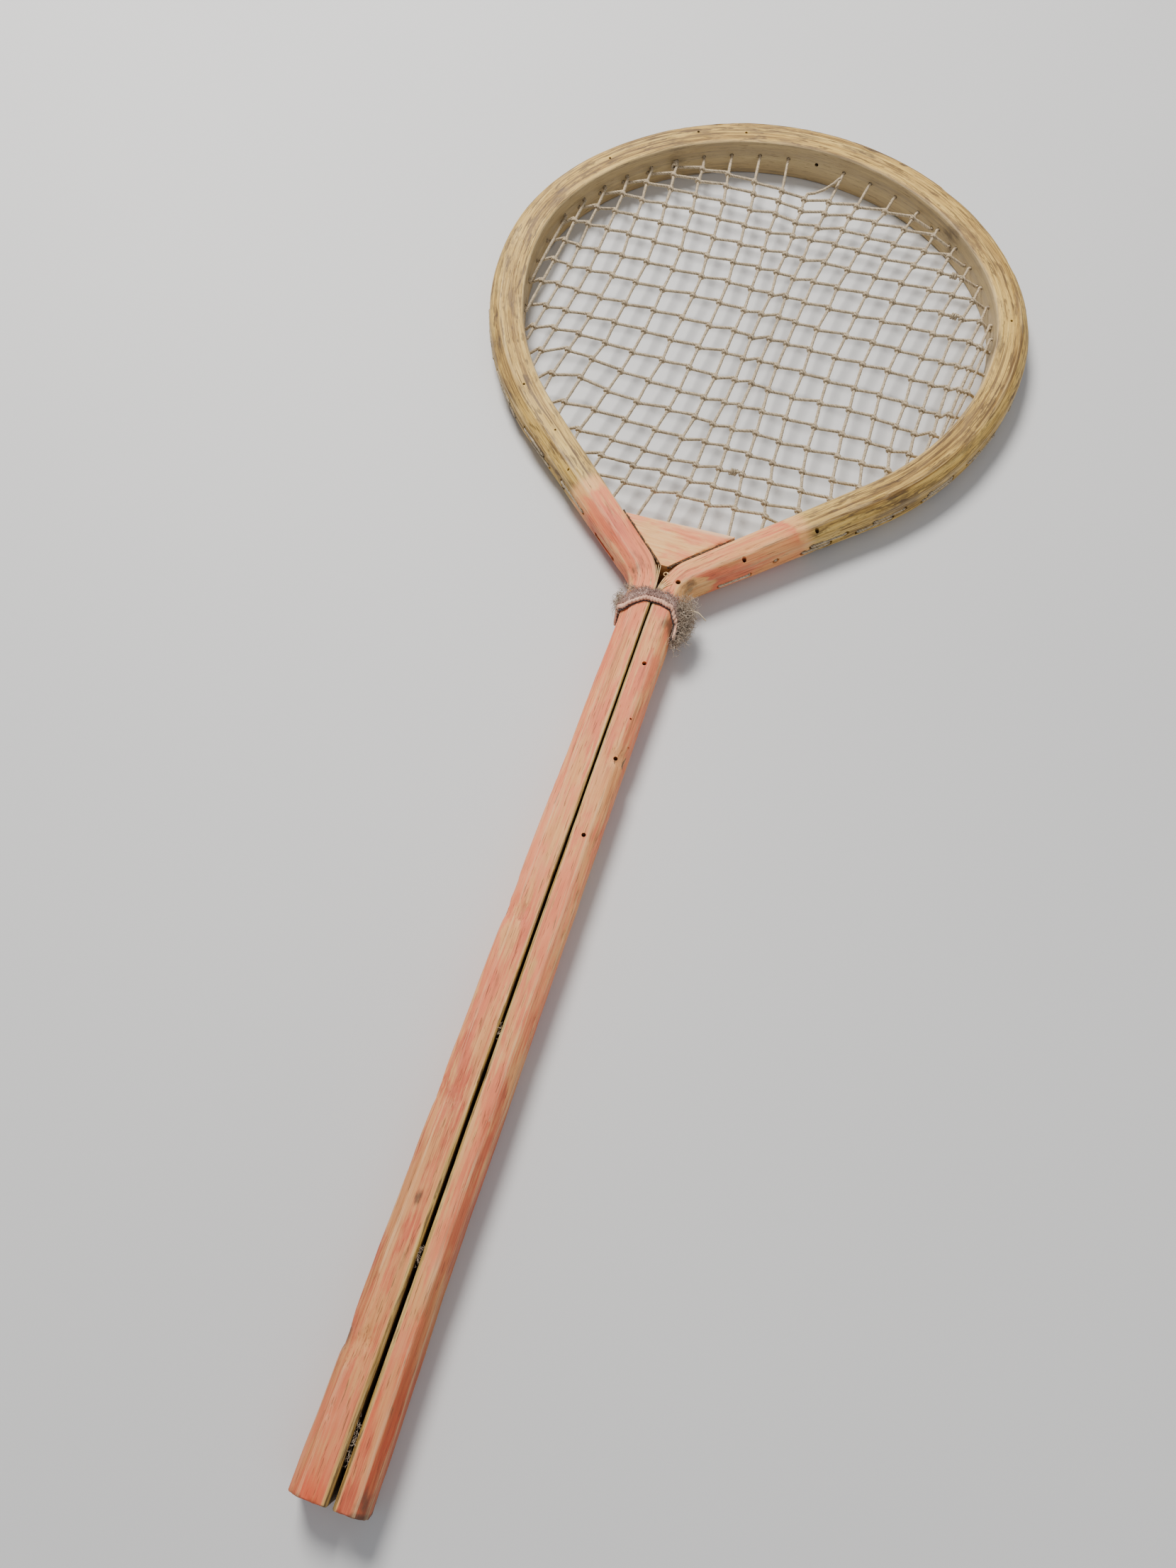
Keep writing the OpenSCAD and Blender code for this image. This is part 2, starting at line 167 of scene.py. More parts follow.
def shade(mesh, degrees):
    """Smooth faces, with sharp edges where they meet at more than this angle."""
    mesh.polygons.foreach_set("use_smooth", [True] * len(mesh.polygons))
    mesh.set_sharp_from_angle(angle=math.radians(degrees))


# ---------------------------------------------------------------- materials


class Tree:
    """A few shorthands for building a material's nodes."""

    def __init__(self, name):
        self.material = bpy.data.materials.new(name)
        self.material.use_nodes = True
        self.nodes = self.material.node_tree.nodes
        self.links = self.material.node_tree.links
        self.shader = self.nodes["Principled BSDF"]
        self.place = None

    def put(self, socket, value):
        if isinstance(value, bpy.types.NodeSocket):
            self.links.new(value, socket)
        else:
            socket.default_value = (*value, 1) if isinstance(value, tuple) and socket.type == "RGBA" else value

    def attribute(self, name, output="Fac"):
        n = self.nodes.new("ShaderNodeAttribute")
        n.attribute_name = name
        return n.outputs[output]

    def noise(self, scale, offset=(0, 0, 0), detail=4, rough=0.6, distortion=0.0):
        """Noise with this scale along the piece's grain and across it."""
        if self.place is None:
            self.place = self.attribute("grain", "Vector")
        place = self.nodes.new("ShaderNodeMapping")
        place.inputs["Scale"].default_value = (*scale, scale[-1])[:3]
        place.inputs["Location"].default_value = offset
        self.links.new(self.place, place.inputs["Vector"])
        n = self.nodes.new("ShaderNodeTexNoise")
        self.links.new(place.outputs["Vector"], n.inputs["Vector"])
        for key, value in (("Scale", 1), ("Detail", detail), ("Roughness", rough), ("Distortion", distortion)):
            n.inputs[key].default_value = value
        return n.outputs["Fac"]

    def ramp(self, value, *stops):
        n = self.nodes.new("ShaderNodeValToRGB")
        elements = n.color_ramp.elements
        while len(elements) < len(stops):
            elements.new(0.5)
        for e, (position, colour) in zip(elements, stops):
            e.position = position
            e.color = (*colour, 1)
        self.links.new(value, n.inputs["Fac"])
        return n.outputs["Color"]

    def level(self, value, low, high, out_low=0.0, out_high=1.0):
        n = self.nodes.new("ShaderNodeMapRange")
        n.interpolation_type = "SMOOTHSTEP"
        self.put(n.inputs["Value"], value)
        for key, v in (("From Min", low), ("From Max", high), ("To Min", out_low), ("To Max", out_high)):
            n.inputs[key].default_value = v
        return n.outputs["Result"]

    def math(self, kind, a, b):
        n = self.nodes.new("ShaderNodeMath")
        n.operation = kind
        self.put(n.inputs[0], a)
        self.put(n.inputs[1], b)
        return n.outputs["Value"]

    def add(self, *terms):
        """The sum of the values, each times its weight."""
        parts = [value if weight == 1 else self.math("MULTIPLY", value, weight) for value, weight in terms]
        total = parts[0]
        for part in parts[1:]:
            total = self.math("ADD", total, part)
        return total

    def mix(self, factor, a, b, blend="MIX"):
        n = self.nodes.new("ShaderNodeMix")
        n.data_type = "RGBA"
        n.blend_type = blend
        self.put(n.inputs["Factor"], factor)
        for key, value in (("A", a), ("B", b)):
            self.put([s for s in n.inputs if s.name == key and s.type == "RGBA"][0], value)
        return [s for s in n.outputs if s.type == "RGBA"][0]

    def over(self, base, mask, amount, colour):
        """The colour laid over the base where the mask is, at most this strongly."""
        return self.mix(self.math("MULTIPLY", mask, amount), base, colour)

    def bump(self, height, strength, distance, normal=None):
        n = self.nodes.new("ShaderNodeBump")
        n.inputs["Strength"].default_value = strength
        n.inputs["Distance"].default_value = distance
        self.links.new(height, n.inputs["Height"])
        if normal is not None:
            self.links.new(normal, n.inputs["Normal"])
        return n.outputs["Normal"]

    def finish(self, colour, roughness, normal=None):
        self.put(self.shader.inputs["Base Color"], colour)
        self.put(self.shader.inputs["Roughness"], roughness)
        if normal is not None:
            self.put(self.shader.inputs["Normal"], normal)
        return self.material


def wood_material():
    """Aged bent wood, bare round the hoop and under worn salmon paint elsewhere, with painted shade in holes, slit,
    throat hollow and low on the handle, and a painted highlight on the ridges. "grain" runs along the stave.
    """
    t = Tree("aged_stave_wood")
    paint, stain_and_shade, inner, edge, aged_and_shaded, vivid = [
        t.attribute(name) for name in ("paint", "stain_and_shade", "inner", "edge", "aged_and_shaded", "vivid")
    ]
    bands = t.noise((9, 330), detail=5, rough=0.65, distortion=0.5)
    fibres = t.noise((38, 1250), (3, 7, 1), 5, 0.72)
    scars = t.noise((26, 800), (11, 2, 6), 3, 0.6, 0.6)
    fine = t.noise((160, 4200), (1, 2, 3), 3, 0.7)
    pores = t.noise((130, 2600), (8, 1, 5), 2, 0.5)
    patches = t.noise((22, 60), (5, 5, 0))
    grime = t.noise((60, 150), (1, 9, 4), 6, 0.65)
    blotch = t.noise((30, 105), (2, 6, 9))
    lines = t.noise((8, 640), (4, 4, 8), 3, 0.6, 0.3)
    smudges = t.noise((42, 150), (6, 1, 2), 6, 0.72, 0.4)
    flecks = t.noise((95, 560), (2, 8, 3), 3, 0.65)

    mixed = t.add((bands, 0.5), (fibres, 0.5))
    bare = t.ramp(
        mixed, (0.34, (0.10, 0.045, 0.010)), (0.42, (0.30, 0.165, 0.034)), (0.49, (0.60, 0.365, 0.078)),
        (0.57, (0.81, 0.53, 0.13)), (0.69, (0.94, 0.69, 0.23)))
    bare = t.over(bare, t.level(patches, 0.52, 0.72), 0.5, (0.29, 0.155, 0.05))
    bare = t.over(bare, inner, 0.72, (0.45, 0.36, 0.22))
    bare = t.over(bare, t.level(fine, 0.55, 0.70), 0.45, (0.14, 0.07, 0.022))
    outer = t.math("SUBTRACT", 1.0, inner)
    for marks, low, high, amount, colour in (
        (scars, 0.58, 0.64, 0.78, (0.10, 0.05, 0.018)), (lines, 0.58, 0.65, 0.72, (0.14, 0.075, 0.026)),
        (smudges, 0.50, 0.63, 0.70, (0.20, 0.115, 0.045)), (flecks, 0.55, 0.62, 0.72, (0.12, 0.064, 0.022)),
    ):
        bare = t.over(bare, t.math("MULTIPLY", t.level(marks, low, high), outer), amount, colour)

    salmon = t.ramp(
        t.add((fibres, 0.3), (patches, 0.7)), (0.36, (0.62, 0.115, 0.050)), (0.45, (0.84, 0.195, 0.082)),
        (0.54, (0.97, 0.275, 0.115)), (0.66, (1.0, 0.40, 0.185)))
    tan = t.ramp(mixed, (0.33, (0.62, 0.26, 0.075)), (0.50, (0.94, 0.455, 0.150)), (0.68, (1.0, 0.60, 0.235)))
    painted = t.over(salmon, t.level(t.add((fibres, 0.3), (blotch, 0.7)), 0.47, 0.57), 0.7, tan)
    painted = t.over(painted, t.level(scars, 0.58, 0.66), 0.5, (0.45, 0.12, 0.05))
    painted = t.over(painted, t.level(lines, 0.60, 0.68), 0.28, (0.42, 0.13, 0.055))
    painted = t.over(painted, vivid, t.level(blotch, 0.42, 0.56), (0.86, 0.085, 0.03))
    # "paint" passes 0.5 where the paint starts; the fibres and blotches make its edge ragged
    covered = t.level(t.add((paint, 1), (fibres, 0.8), (blotch, 1.5)), 1.58, 1.72)
    colour = t.mix(covered, t.mix(t.level(paint, 0.05, 0.3), bare, tan), painted)
    # painted shade together with older paint: darker low on the handle and on its outer facets, most of all the right
    # one
    colour = t.mix(aged_and_shaded, colour, (0.57, 0.50, 0.44), "MULTIPLY")

    pore = t.level(pores, 0.63, 0.70)
    # dirt noise and real stains darken the wood, and so does the painted shade in the holes, the slit and the throat's
    # hollow
    colour = t.over(colour, t.level(t.add((grime, 1), (stain_and_shade, 0.5)), 0.62, 0.88), 0.8, (0.075, 0.045, 0.025))
    colour = t.over(colour, pore, 0.6, (0.10, 0.055, 0.025))
    # painted highlight: lighter wood along the ridges, where the light catches them
    colour = t.over(colour, t.math("MULTIPLY", edge, t.level(fibres, 0.42, 0.6)), 0.4, (0.84, 0.62, 0.33))
    rough = t.level(t.add((patches, 1), (covered, 0.12)), 0.3, 0.8, 0.50, 0.74)
    normal = t.bump(t.add((fibres, 0.6), (fine, 0.4), (pore, -0.5)), 0.55, 0.0004)
    return t.finish(colour, rough, t.bump(patches, 0.25, 0.0008, normal))


def wedge_material():
    """Thin salmon paint rubbed down to pale wood, with the grain running across the throat."""
    t = Tree("painted_wedge_wood")
    fibres = t.noise((70, 900), detail=5, rough=0.65, distortion=0.3)
    fine = t.noise((240, 3600), (4, 1, 1), 3, 0.7)
    patches = t.noise((60, 120), (2, 0, 3))
    wood = t.ramp(fibres, (0.30, (0.78, 0.32, 0.085)), (0.5, (1.0, 0.50, 0.165)), (0.70, (1.0, 0.62, 0.24)))
    salmon = t.ramp(fibres, (0.32, (0.82, 0.18, 0.07)), (0.5, (1.0, 0.29, 0.125)), (0.68, (1.0, 0.38, 0.175)))
    cover = t.add((patches, 0.75), (fine, 0.25), (t.attribute("high"), 0.22))
    colour = t.over(wood, t.level(cover, 0.54, 0.68), 0.85, salmon)
    colour = t.over(colour, t.level(fine, 0.58, 0.72), 0.4, (0.33, 0.14, 0.08))
    colour = t.over(colour, t.attribute("edge"), 0.6, (0.93, 0.72, 0.43))
    normal = t.bump(t.add((fibres, 1), (fine, 0.6)), 0.5, 0.0003)
    return t.finish(colour, t.level(patches, 0.3, 0.7, 0.52, 0.70), normal)


def twine_material(name, tone=1.0):
    """Twisted grey-beige twine. The attribute "lay" is how deep the surface lies between the strands, and the colour
    is darkened there as painted shade.
    """
    t = Tree(name)
    fibres = t.noise((260, 2600), rough=0.7)
    grime = t.noise((26, 60), (3, 3, 3), 5)
    colour = t.ramp(fibres, *[
        (stop, tuple(c * tone for c in rgb)) for stop, rgb in (
            (0.32, (0.30, 0.225, 0.13)), (0.50, (0.58, 0.46, 0.30)), (0.70, (0.74, 0.63, 0.45)))
    ])
    colour = t.over(colour, t.level(grime, 0.48, 0.75), 0.5, (0.145, 0.105, 0.07))
    # painted shade in the grooves between the strands
    colour = t.over(colour, t.attribute("lay"), 0.75, (0.07, 0.052, 0.038))
    return t.finish(colour, t.level(fibres, 0.3, 0.7, 0.78, 0.92), t.bump(fibres, 0.6, 0.0002))


def velvet_material(name, dark, mid, pale):
    """Worn pile: dull colour that changes from tuft to tuft, with a soft sheen."""
    t = Tree(name)
    tufts = t.noise((1400, 1400), rough=0.7)
    patches = t.noise((260, 260), (1, 1, 1), 3)
    colour = t.ramp(t.add((tufts, 0.45), (patches, 0.55)), (0.34, dark), (0.5, mid), (0.66, pale))
    t.shader.inputs["Sheen Weight"].default_value = 0.4
    t.shader.inputs["Sheen Roughness"].default_value = 0.45
    return t.finish(colour, t.level(tufts, 0.3, 0.7, 0.82, 0.97), t.bump(tufts, 0.7, 0.0004))


def plain_material(name, scale, rough, stops, roughness, strength, distance):
    """One noise for both the colour and the relief."""
    t = Tree(name)
    fibres = t.noise(scale, rough=rough)
    return t.finish(t.ramp(fibres, *stops), roughness, t.bump(fibres, strength, distance))


def floor_material():
    t = Tree("pale_studio_floor")
    t.place = t.nodes.new("ShaderNodeNewGeometry").outputs["Position"]
    cloud = t.noise((3, 3), detail=2, rough=0.5)
    return t.finish(t.ramp(cloud, (0.3, (0.70, 0.70, 0.70)), (0.7, (0.74, 0.74, 0.735))), 0.6)


WOOD = wood_material()
WEDGE_WOOD = wedge_material()
TWINE = twine_material("twisted_twine")
OLD_TWINE = twine_material("darker_twisted_twine", 0.85)
PALE_THREAD = twine_material("loose_pale_thread", 1.35)
PILE = velvet_material("worn_velvet", (0.28, 0.165, 0.14), (0.62, 0.41, 0.34), (0.88, 0.66, 0.55))
CORDED = velvet_material("ribbed_ribbon_edge", (0.50, 0.24, 0.155), (0.88, 0.48, 0.33), (1.0, 0.68, 0.49))
# painted contact shadow: a near-black cord that stands in for the shadow under the corded edge
CONTACT_SHADOW_CORD = velvet_material("painted_contact_shadow_thread", (0.03, 0.018, 0.015), (0.06, 0.035, 0.03), (0.12, 0.07, 0.06))
FLUFF = velvet_material("frayed_fluff", (0.26, 0.18, 0.12), (0.50, 0.38, 0.27), (0.72, 0.59, 0.44))
OLD_GLUE = plain_material(
    "dark_old_glue", (700, 900), 0.7,
    [(0.35, (0.03, 0.016, 0.008)), (0.55, (0.10, 0.055, 0.025)), (0.68, (0.42, 0.24, 0.11))], 0.85, 0.8, 0.0004)
SPLINTER = plain_material(
    "raw_splintered_wood", (900, 200, 900), 0.6,
    [(0.3, (0.36, 0.19, 0.07)), (0.5, (0.78, 0.50, 0.22)), (0.7, (0.95, 0.72, 0.40))], 0.75, 0.5, 0.0002)


# ---------------------------------------------------------------- the bent stave


def half_path(step):
    """The left half of the flat inner face's line, from the butt to the top of the crown: x, y, normal x, normal y."""
    rows = []
    n = int(BEND_Y / step)
    for i in range(n):
        f = i / n
        rows.append((-(SLIT_BUTT / 2) * (1 - f) - SLIT_NECK / 2 * f, BEND_Y * f, -1, 0))
    n = max(int(BEND_FLAT_R * LEG_ANGLE / step * 1.5), 8)
    for i in range(n):
        a = LEG_ANGLE * i / n
        rows.append((
            -(SLIT_NECK / 2 + BEND_FLAT_R) + BEND_FLAT_R * math.cos(a), BEND_Y + BEND_FLAT_R * math.sin(a),
            -math.cos(a), -math.sin(a),
        ))
    ax = -SLIT_NECK / 2 - BEND_RUN * math.sin(LEG_ANGLE)
    ay = THROAT_Y + BEND_RUN * math.cos(LEG_ANGLE)
    run = LEG_RUN - BEND_RUN
    n = int(run / step)
    for i in range(n):
        d = run * i / n
        rows.append((
            ax - d * math.sin(LEG_ANGLE), ay + d * math.cos(LEG_ANGLE), -math.cos(LEG_ANGLE), -math.sin(LEG_ANGLE),
        ))
    arcs = [
        (-FLANK_X, SIDE_Y, FLANK_R, math.pi + LEG_ANGLE, math.pi),
        (-(FLANK_X + FLANK_R - SHOULDER_R), SIDE_Y, SHOULDER_R, math.pi, math.pi - SHOULDER_RISE),
        (0, CROWN_Y, CROWN_R, math.pi - SHOULDER_RISE, math.pi / 2),
    ]
    for cx, cy, r, h0, h1 in arcs:
        n = int(r * abs(h1 - h0) / step)
        for i in range(n):
            h = h0 + (h1 - h0) * i / n
            rows.append((cx + r * math.cos(h), cy + r * math.sin(h), math.cos(h), math.sin(h)))
    rows.append((0, CROWN_Y + CROWN_R, 0, 1))
    return np.array(rows)


STATION_STEP = 1.3
left_half = half_path(STATION_STEP)
right_half = left_half[-2::-1] * np.array([-1, 1, -1, 1])
PATH = np.vstack([left_half, right_half])
gaps = np.hypot(*(np.diff(PATH[:, :2], axis=0).T))
PATH_S = np.concatenate([[0], np.cumsum(gaps)])
PATH_END = PATH_S[-1]
ON_RIGHT = np.arange(len(PATH)) >= len(left_half)


def wood_size(y, right):
    """Width, thickness, planed corner and softness of the outer ridges at this distance from the butt."""
    marks = [0, 57, 150, 224, 290, BEND_Y, LEG_END_Y, SIDE_Y - 20, SIDE_Y + 40, CROWN_Y + CROWN_R]
    left_w = [12.0, 12.0, 11.6, 10.6, 9.8, 10.2, 13.4, 14.6, 14.7, 15.1]
    right_w = [9.7, 8.8, 9.3, 9.5, 10.0, 10.3, 12.9, 13.9, 14.4, 15.1]
    w = np.where(right, np.interp(y, marks, right_w), np.interp(y, marks, left_w))
    t = np.interp(y, [0, BEND_Y, LEG_END_Y], [16, NECK_T, 16])
    c = np.interp(y, [0, BEND_Y, LEG_END_Y, SIDE_Y, CROWN_Y + CROWN_R], [3.2, 3.3, 4.5, 4.1, 3.3])
    soft = np.interp(y, [0, BEND_Y, LEG_END_Y, SIDE_Y, CROWN_Y + CROWN_R], [0.9, 1.0, 1.2, 1.6, 2.6])
    return w, t, c, soft


CORNER_STEPS = 4
EDGE_POINTS = [7, 6, 3, 5, 3, 5]


def sections(w, t, c, soft, inner_top, inner_low):
    """Section outlines for all the stations at once, as distance from the flat face and height."""
    corners = np.stack([
        np.stack([0 * w, -t / 2], 1), np.stack([0 * w, t / 2], 1), np.stack([w - c, t / 2], 1),
        np.stack([w, t / 2 - c], 1), np.stack([w, c - t / 2], 1), np.stack([w - c, -t / 2], 1),
    ], 1)
    cuts = [inner_low, inner_top, soft, soft, soft, soft]
    out, ends = [], []
    for i in range(6):
        here, before, after = corners[:, i], corners[:, i - 1], corners[:, (i + 1) % 6]
        back = (before - here) / np.linalg.norm(before - here, axis=1)[:, None]
        on = (after - here) / np.linalg.norm(after - here, axis=1)[:, None]
        a, b = here + back * cuts[i][:, None], here + on * cuts[i][:, None]
        flat = 0.55 if i < 2 else 0.2
        mid = here * (1 - flat) + (a + b) / 2 * flat
        arc = []
        for k in range(CORNER_STEPS + 1):
            u = k / CORNER_STEPS
            arc.append(a * (1 - u) ** 2 + mid * 2 * u * (1 - u) + b * u ** 2)
        ends.append(arc)
    for i in range(6):
        out += ends[i]
        a, b = ends[i][-1], ends[(i + 1) % 6][0]
        for k in range(EDGE_POINTS[i]):
            u = (k + 1) / (EDGE_POINTS[i] + 1)
            out.append(a * (1 - u) + b * u)
    return np.stack(out, 1)


def stave_mesh():
    y = PATH[:, 1]
    w, t, c, soft = wood_size(y, ON_RIGHT)
    bevel = 0.45 + 0.55 * (1 - np.clip(y / 150, 0, 1))
    on_handle = y < BEND_Y
    inner_top = np.where(on_handle, bevel, 0.8)
    inner_low = np.where(on_handle, bevel * 0.9, 0.8)
    sec = sections(w, t, c, soft, inner_top, inner_low)
    count, around = sec.shape[:2]
    tangent = np.roll(sec, -1, 1) - np.roll(sec, 1, 1)
    normal = np.stack([-tangent[..., 1], tangent[..., 0]], -1)
    normal /= np.maximum(np.linalg.norm(normal, axis=2), 1e-9)[..., None]
    length = np.concatenate([np.zeros((count, 1)), np.cumsum(np.linalg.norm(np.diff(sec, axis=1), axis=2), 1)], 1)
    s = PATH_S[:, None]
    # hand-planed waviness, weathered ridges along the grain, and knocks on the edges
    flat_side = sec[..., 0] < 0.4
    amount = np.where(flat_side, 0.25, 1.0)
    push = 0.16 * noise(s / 34, length / 13 + 3, 11) + 0.10 * noise(s / 11, length / 5, 12)
    push += 0.045 * noise(s / 6, length / 0.9, 13) + 0.03 * noise(s / 2.6, length / 0.6, 14)
    edge = np.zeros(around, bool)
    at = 0
    for i in range(6):
        edge[at:at + CORNER_STEPS + 1] = True
        at += CORNER_STEPS + 1 + EDGE_POINTS[i]
    knocks = np.clip(noise(s / 7, length / 3 + 50, 15) - 0.55, 0, 1) * 1.1
    push = push - np.where(edge[None, :], knocks, knocks * 0.25)
    # larger chips on the upper edges: three on the handle's left half and one on its right half
    for s0, depth, width in ((173, 0.9, 3.2), (40, 0.8, 4), (112, 0.5, 5), (PATH_END - 235, 0.9, 2.6)):
        near = bell(s, s0, width) * smooth(2.0, 5.0, sec[..., 0]) * (sec[..., 1] > 1)
        push = push - depth * near * (0.7 + 0.5 * noise(s / 1.1, length / 1.3, 16))
    sec = sec + normal * (push * amount)[..., None]
    sec[..., 1] = np.clip(sec[..., 1], -MID_Z, MID_Z + 0.2)
    pts = np.empty((count, around, 3))
    pts[..., 0] = PATH[:, None, 0] + sec[..., 0] * PATH[:, None, 2]
    pts[..., 1] = PATH[:, None, 1] + sec[..., 0] * PATH[:, None, 3]
    pts[..., 2] = MID_Z + sec[..., 1]
    verts = [pts.reshape(-1, 3)]
    idx = np.arange(count * around).reshape(count, around)
    faces = between(idx[:-1], idx[1:])
    base = count * around
    # the sawn butt ends: a worn rim, then a slightly uneven face
    for ring, row in ((idx[0], 0), (idx[-1], count - 1)):
        middle = pts[row].mean(0)
        last = ring
        for k, (scale, out_by) in enumerate(((0.965, 0.35), (0.8, 0.5), (0.5, 0.55), (0.2, 0.5))):
            new = middle + (pts[row] - middle) * scale
            new[:, 1] = pts[row][:, 1] - out_by + 0.12 * noise(new[:, 0] * 1.3, new[:, 2] * 1.3, 20 + k)
            verts.append(new)
            here = base + np.arange(around)
            base += around
            faces += between(last, here)
            last = here
        faces.append(last.tolist())
    return np.vstack(verts), faces


# the rods get a ring every RING_STEP, so holes carved with them have points down their walls to carry the painted
# shade inside them
RING_STEP = 1.6


def cylinders(rods, sides=14):
    """Closed rods as one mesh: each is (start, end, radius) or (start, end, start radius, end radius)."""
    verts, faces = [], []
    for a, b, *radii in rods:
        a, b = np.asarray(a, float), np.asarray(b, float)
        d = unit(b - a)
        u = unit(np.cross(d, [0, 0, 1] if abs(d[2]) < 0.9 else [1, 0, 0]))
        v = np.cross(d, u)
        steps = max(int(np.linalg.norm(b - a) / RING_STEP), 2)
        faces += tube_faces(steps + 1, sides, len(verts))
        for i in range(steps + 1):
            f = i / steps
            r = radii[0] * (1 - f) + radii[-1] * f
            for k in range(sides):
                h = 2 * math.pi * k / sides
                verts.append(a * (1 - f) + b * f + r * (math.cos(h) * u + math.sin(h) * v))
    return verts, faces


def carve(obj, rods, sides=14):
    """Cuts the rods out of a piece."""
    verts, faces = cylinders(rods, sides)
    mesh = bpy.data.meshes.new("cutter")
    mesh.from_pydata([tuple(p) for p in to_frame(verts)], [], faces)
    cutter = bpy.data.objects.new("cutter", mesh)
    bpy.context.scene.collection.objects.link(cutter)
    outward(cutter)
    mod = obj.modifiers.new("carve", "BOOLEAN")
    mod.operation = "DIFFERENCE"
    mod.solver = "MANIFOLD"
    mod.object = cutter
    bpy.context.view_layer.update()
    done = bpy.data.meshes.new_from_object(obj.evaluated_get(bpy.context.evaluated_depsgraph_get()))
    obj.modifiers.remove(mod)
    old = obj.data
    name = old.name
    obj.data = done
    bpy.data.meshes.remove(old)
    done.name = name
    bpy.data.objects.remove(cutter)
    bpy.data.meshes.remove(mesh)


# ---------------------------------------------------------------- where the strings run

MAINS = 22
CROSSES = 17
TILT = math.radians(-0.9)
CROSS_DIR = np.array([math.cos(TILT), math.sin(TILT)])
MAIN_Z = MID_Z + 1
CROSS_Z = MID_Z - 1
REF_Y = THROAT_Y + 141.8
# the mains at REF_Y fan out as a sine of their number; their lean in degrees is level, then by side, then by spread
FAN_REACH, FAN_DEGREES, FAN_SHIFT = 97, 78, 6.2
LEAN, LEAN_BY_SIDE, LEAN_BY_SPREAD = 2.5, 2.2, 3.2
# the crosses' rows, and the waist to which they pull the mains
ROWS_MIDDLE, ROWS_REACH, ROWS_CLOSING = 124, 101, 14.8
WAIST_PULL, WAIST_AT = 10.6, 0.33
TIE_CLEARANCE = 3.3
INNER_ARCS = [
    (0, CROWN_Y, CROWN_R, SHOULDER_RISE, math.pi - SHOULDER_RISE),
    (FLANK_X + FLANK_R - SHOULDER_R, SIDE_Y, SHOULDER_R, 0, SHOULDER_RISE),
    (-(FLANK_X + FLANK_R - SHOULDER_R), SIDE_Y, SHOULDER_R, math.pi - SHOULDER_RISE, math.pi),
    (FLANK_X, SIDE_Y, FLANK_R, -LEG_ANGLE, 0),
    (-FLANK_X, SIDE_Y, FLANK_R, math.pi, math.pi + LEG_ANGLE),
]


def wall_hit(p, d):
    """Where a line from p along d meets the inner wall, and the wall's outward normal there."""
    for cx, cy, r, h0, h1 in INNER_ARCS:
        f = p - np.array([cx, cy])
        b = f @ d
        q = p + (-b + math.sqrt(max(0, b * b - f @ f + r * r))) * d
        h = math.atan2(q[1] - cy, q[0] - cx)
        if h < -math.pi / 2:
            h += 2 * math.pi
        if h0 - 1e-6 <= h < h1 + 1e-6:
            return q, (q - np.array([cx, cy])) / r
    for side in (-1, 1):
        n = np.array([side * math.cos(LEG_ANGLE), -math.sin(LEG_ANGLE)])
        along = n @ d
        if along <= 1e-6:
            continue
        q = p + ((np.array([side * SLIT_NECK / 2, THROAT_Y]) - p) @ n / along) * d
        if q[1] < LEG_END_Y and q[0] * side > 0:
            return q, n
    raise ValueError("a string misses the wall")


def main_t(k):
    """A main's place across the head, from -1 to 1."""
    return (k - (MAINS - 1) / 2) / ((MAINS - 1) / 2)


def main_point(k):
    t = main_t(k)
    return np.array([FAN_REACH * math.sin(math.radians(FAN_DEGREES * t)) + FAN_SHIFT * (1 - t * t), REF_Y])


def main_dir(k):
    t = main_t(k)
    a = math.radians(LEAN + LEAN_BY_SIDE * t + LEAN_BY_SPREAD * t * t)
    return np.array([math.sin(a), math.cos(a)])


def main_at(k, y):
    d = main_dir(k)
    return main_point(k) + (y - REF_Y) / d[1] * d


def in_wedge(k):
    return abs(main_at(k, WEDGE_Y)[0]) < WEDGE_HALF - 2


TOP_HIT = [wall_hit(main_point(k), main_dir(k)) for k in range(MAINS)]
FOOT_HIT = [
    (main_at(k, WEDGE_Y), -main_dir(k)) if in_wedge(k) else wall_hit(main_point(k), -main_dir(k))
    for k in range(MAINS)
]


def cross_y(j):
    t = (j - (CROSSES - 1) / 2) / ((CROSSES - 1) / 2)
    return THROAT_Y + ROWS_MIDDLE + ROWS_REACH * t - ROWS_CLOSING * t ** 3


CROSS_HIT = [[wall_hit(np.array([0, cross_y(j)]), side * CROSS_DIR) for side in (-1, 1)] for j in range(CROSSES)]


def meeting(k, j):
    p, d, q = main_point(k), main_dir(k), np.array([0, cross_y(j)])
    n = np.array([-CROSS_DIR[1], CROSS_DIR[0]])
    m = p + ((q - p) @ n / (d @ n)) * d
    top, foot = TOP_HIT[k][0][1], FOOT_HIT[k][0][1]
    s = (2 * m[1] - top - foot) / (top - foot)
    t = main_t(k)
    pull = -2 * WAIST_PULL * (t / WAIST_AT) / (1 + (t / WAIST_AT) ** 2) * (1 - t * t)
    return m + pull * max(0, 1 - s * s) * CROSS_DIR


def tied(k, j):
    m = meeting(k, j)
    a, b = CROSS_HIT[j][0][0], CROSS_HIT[j][1][0]
    return (m - a) @ CROSS_DIR > TIE_CLEARANCE and (b - m) @ CROSS_DIR > TIE_CLEARANCE


TIED = [[tied(k, j) for j in range(CROSSES)] for k in range(MAINS)]


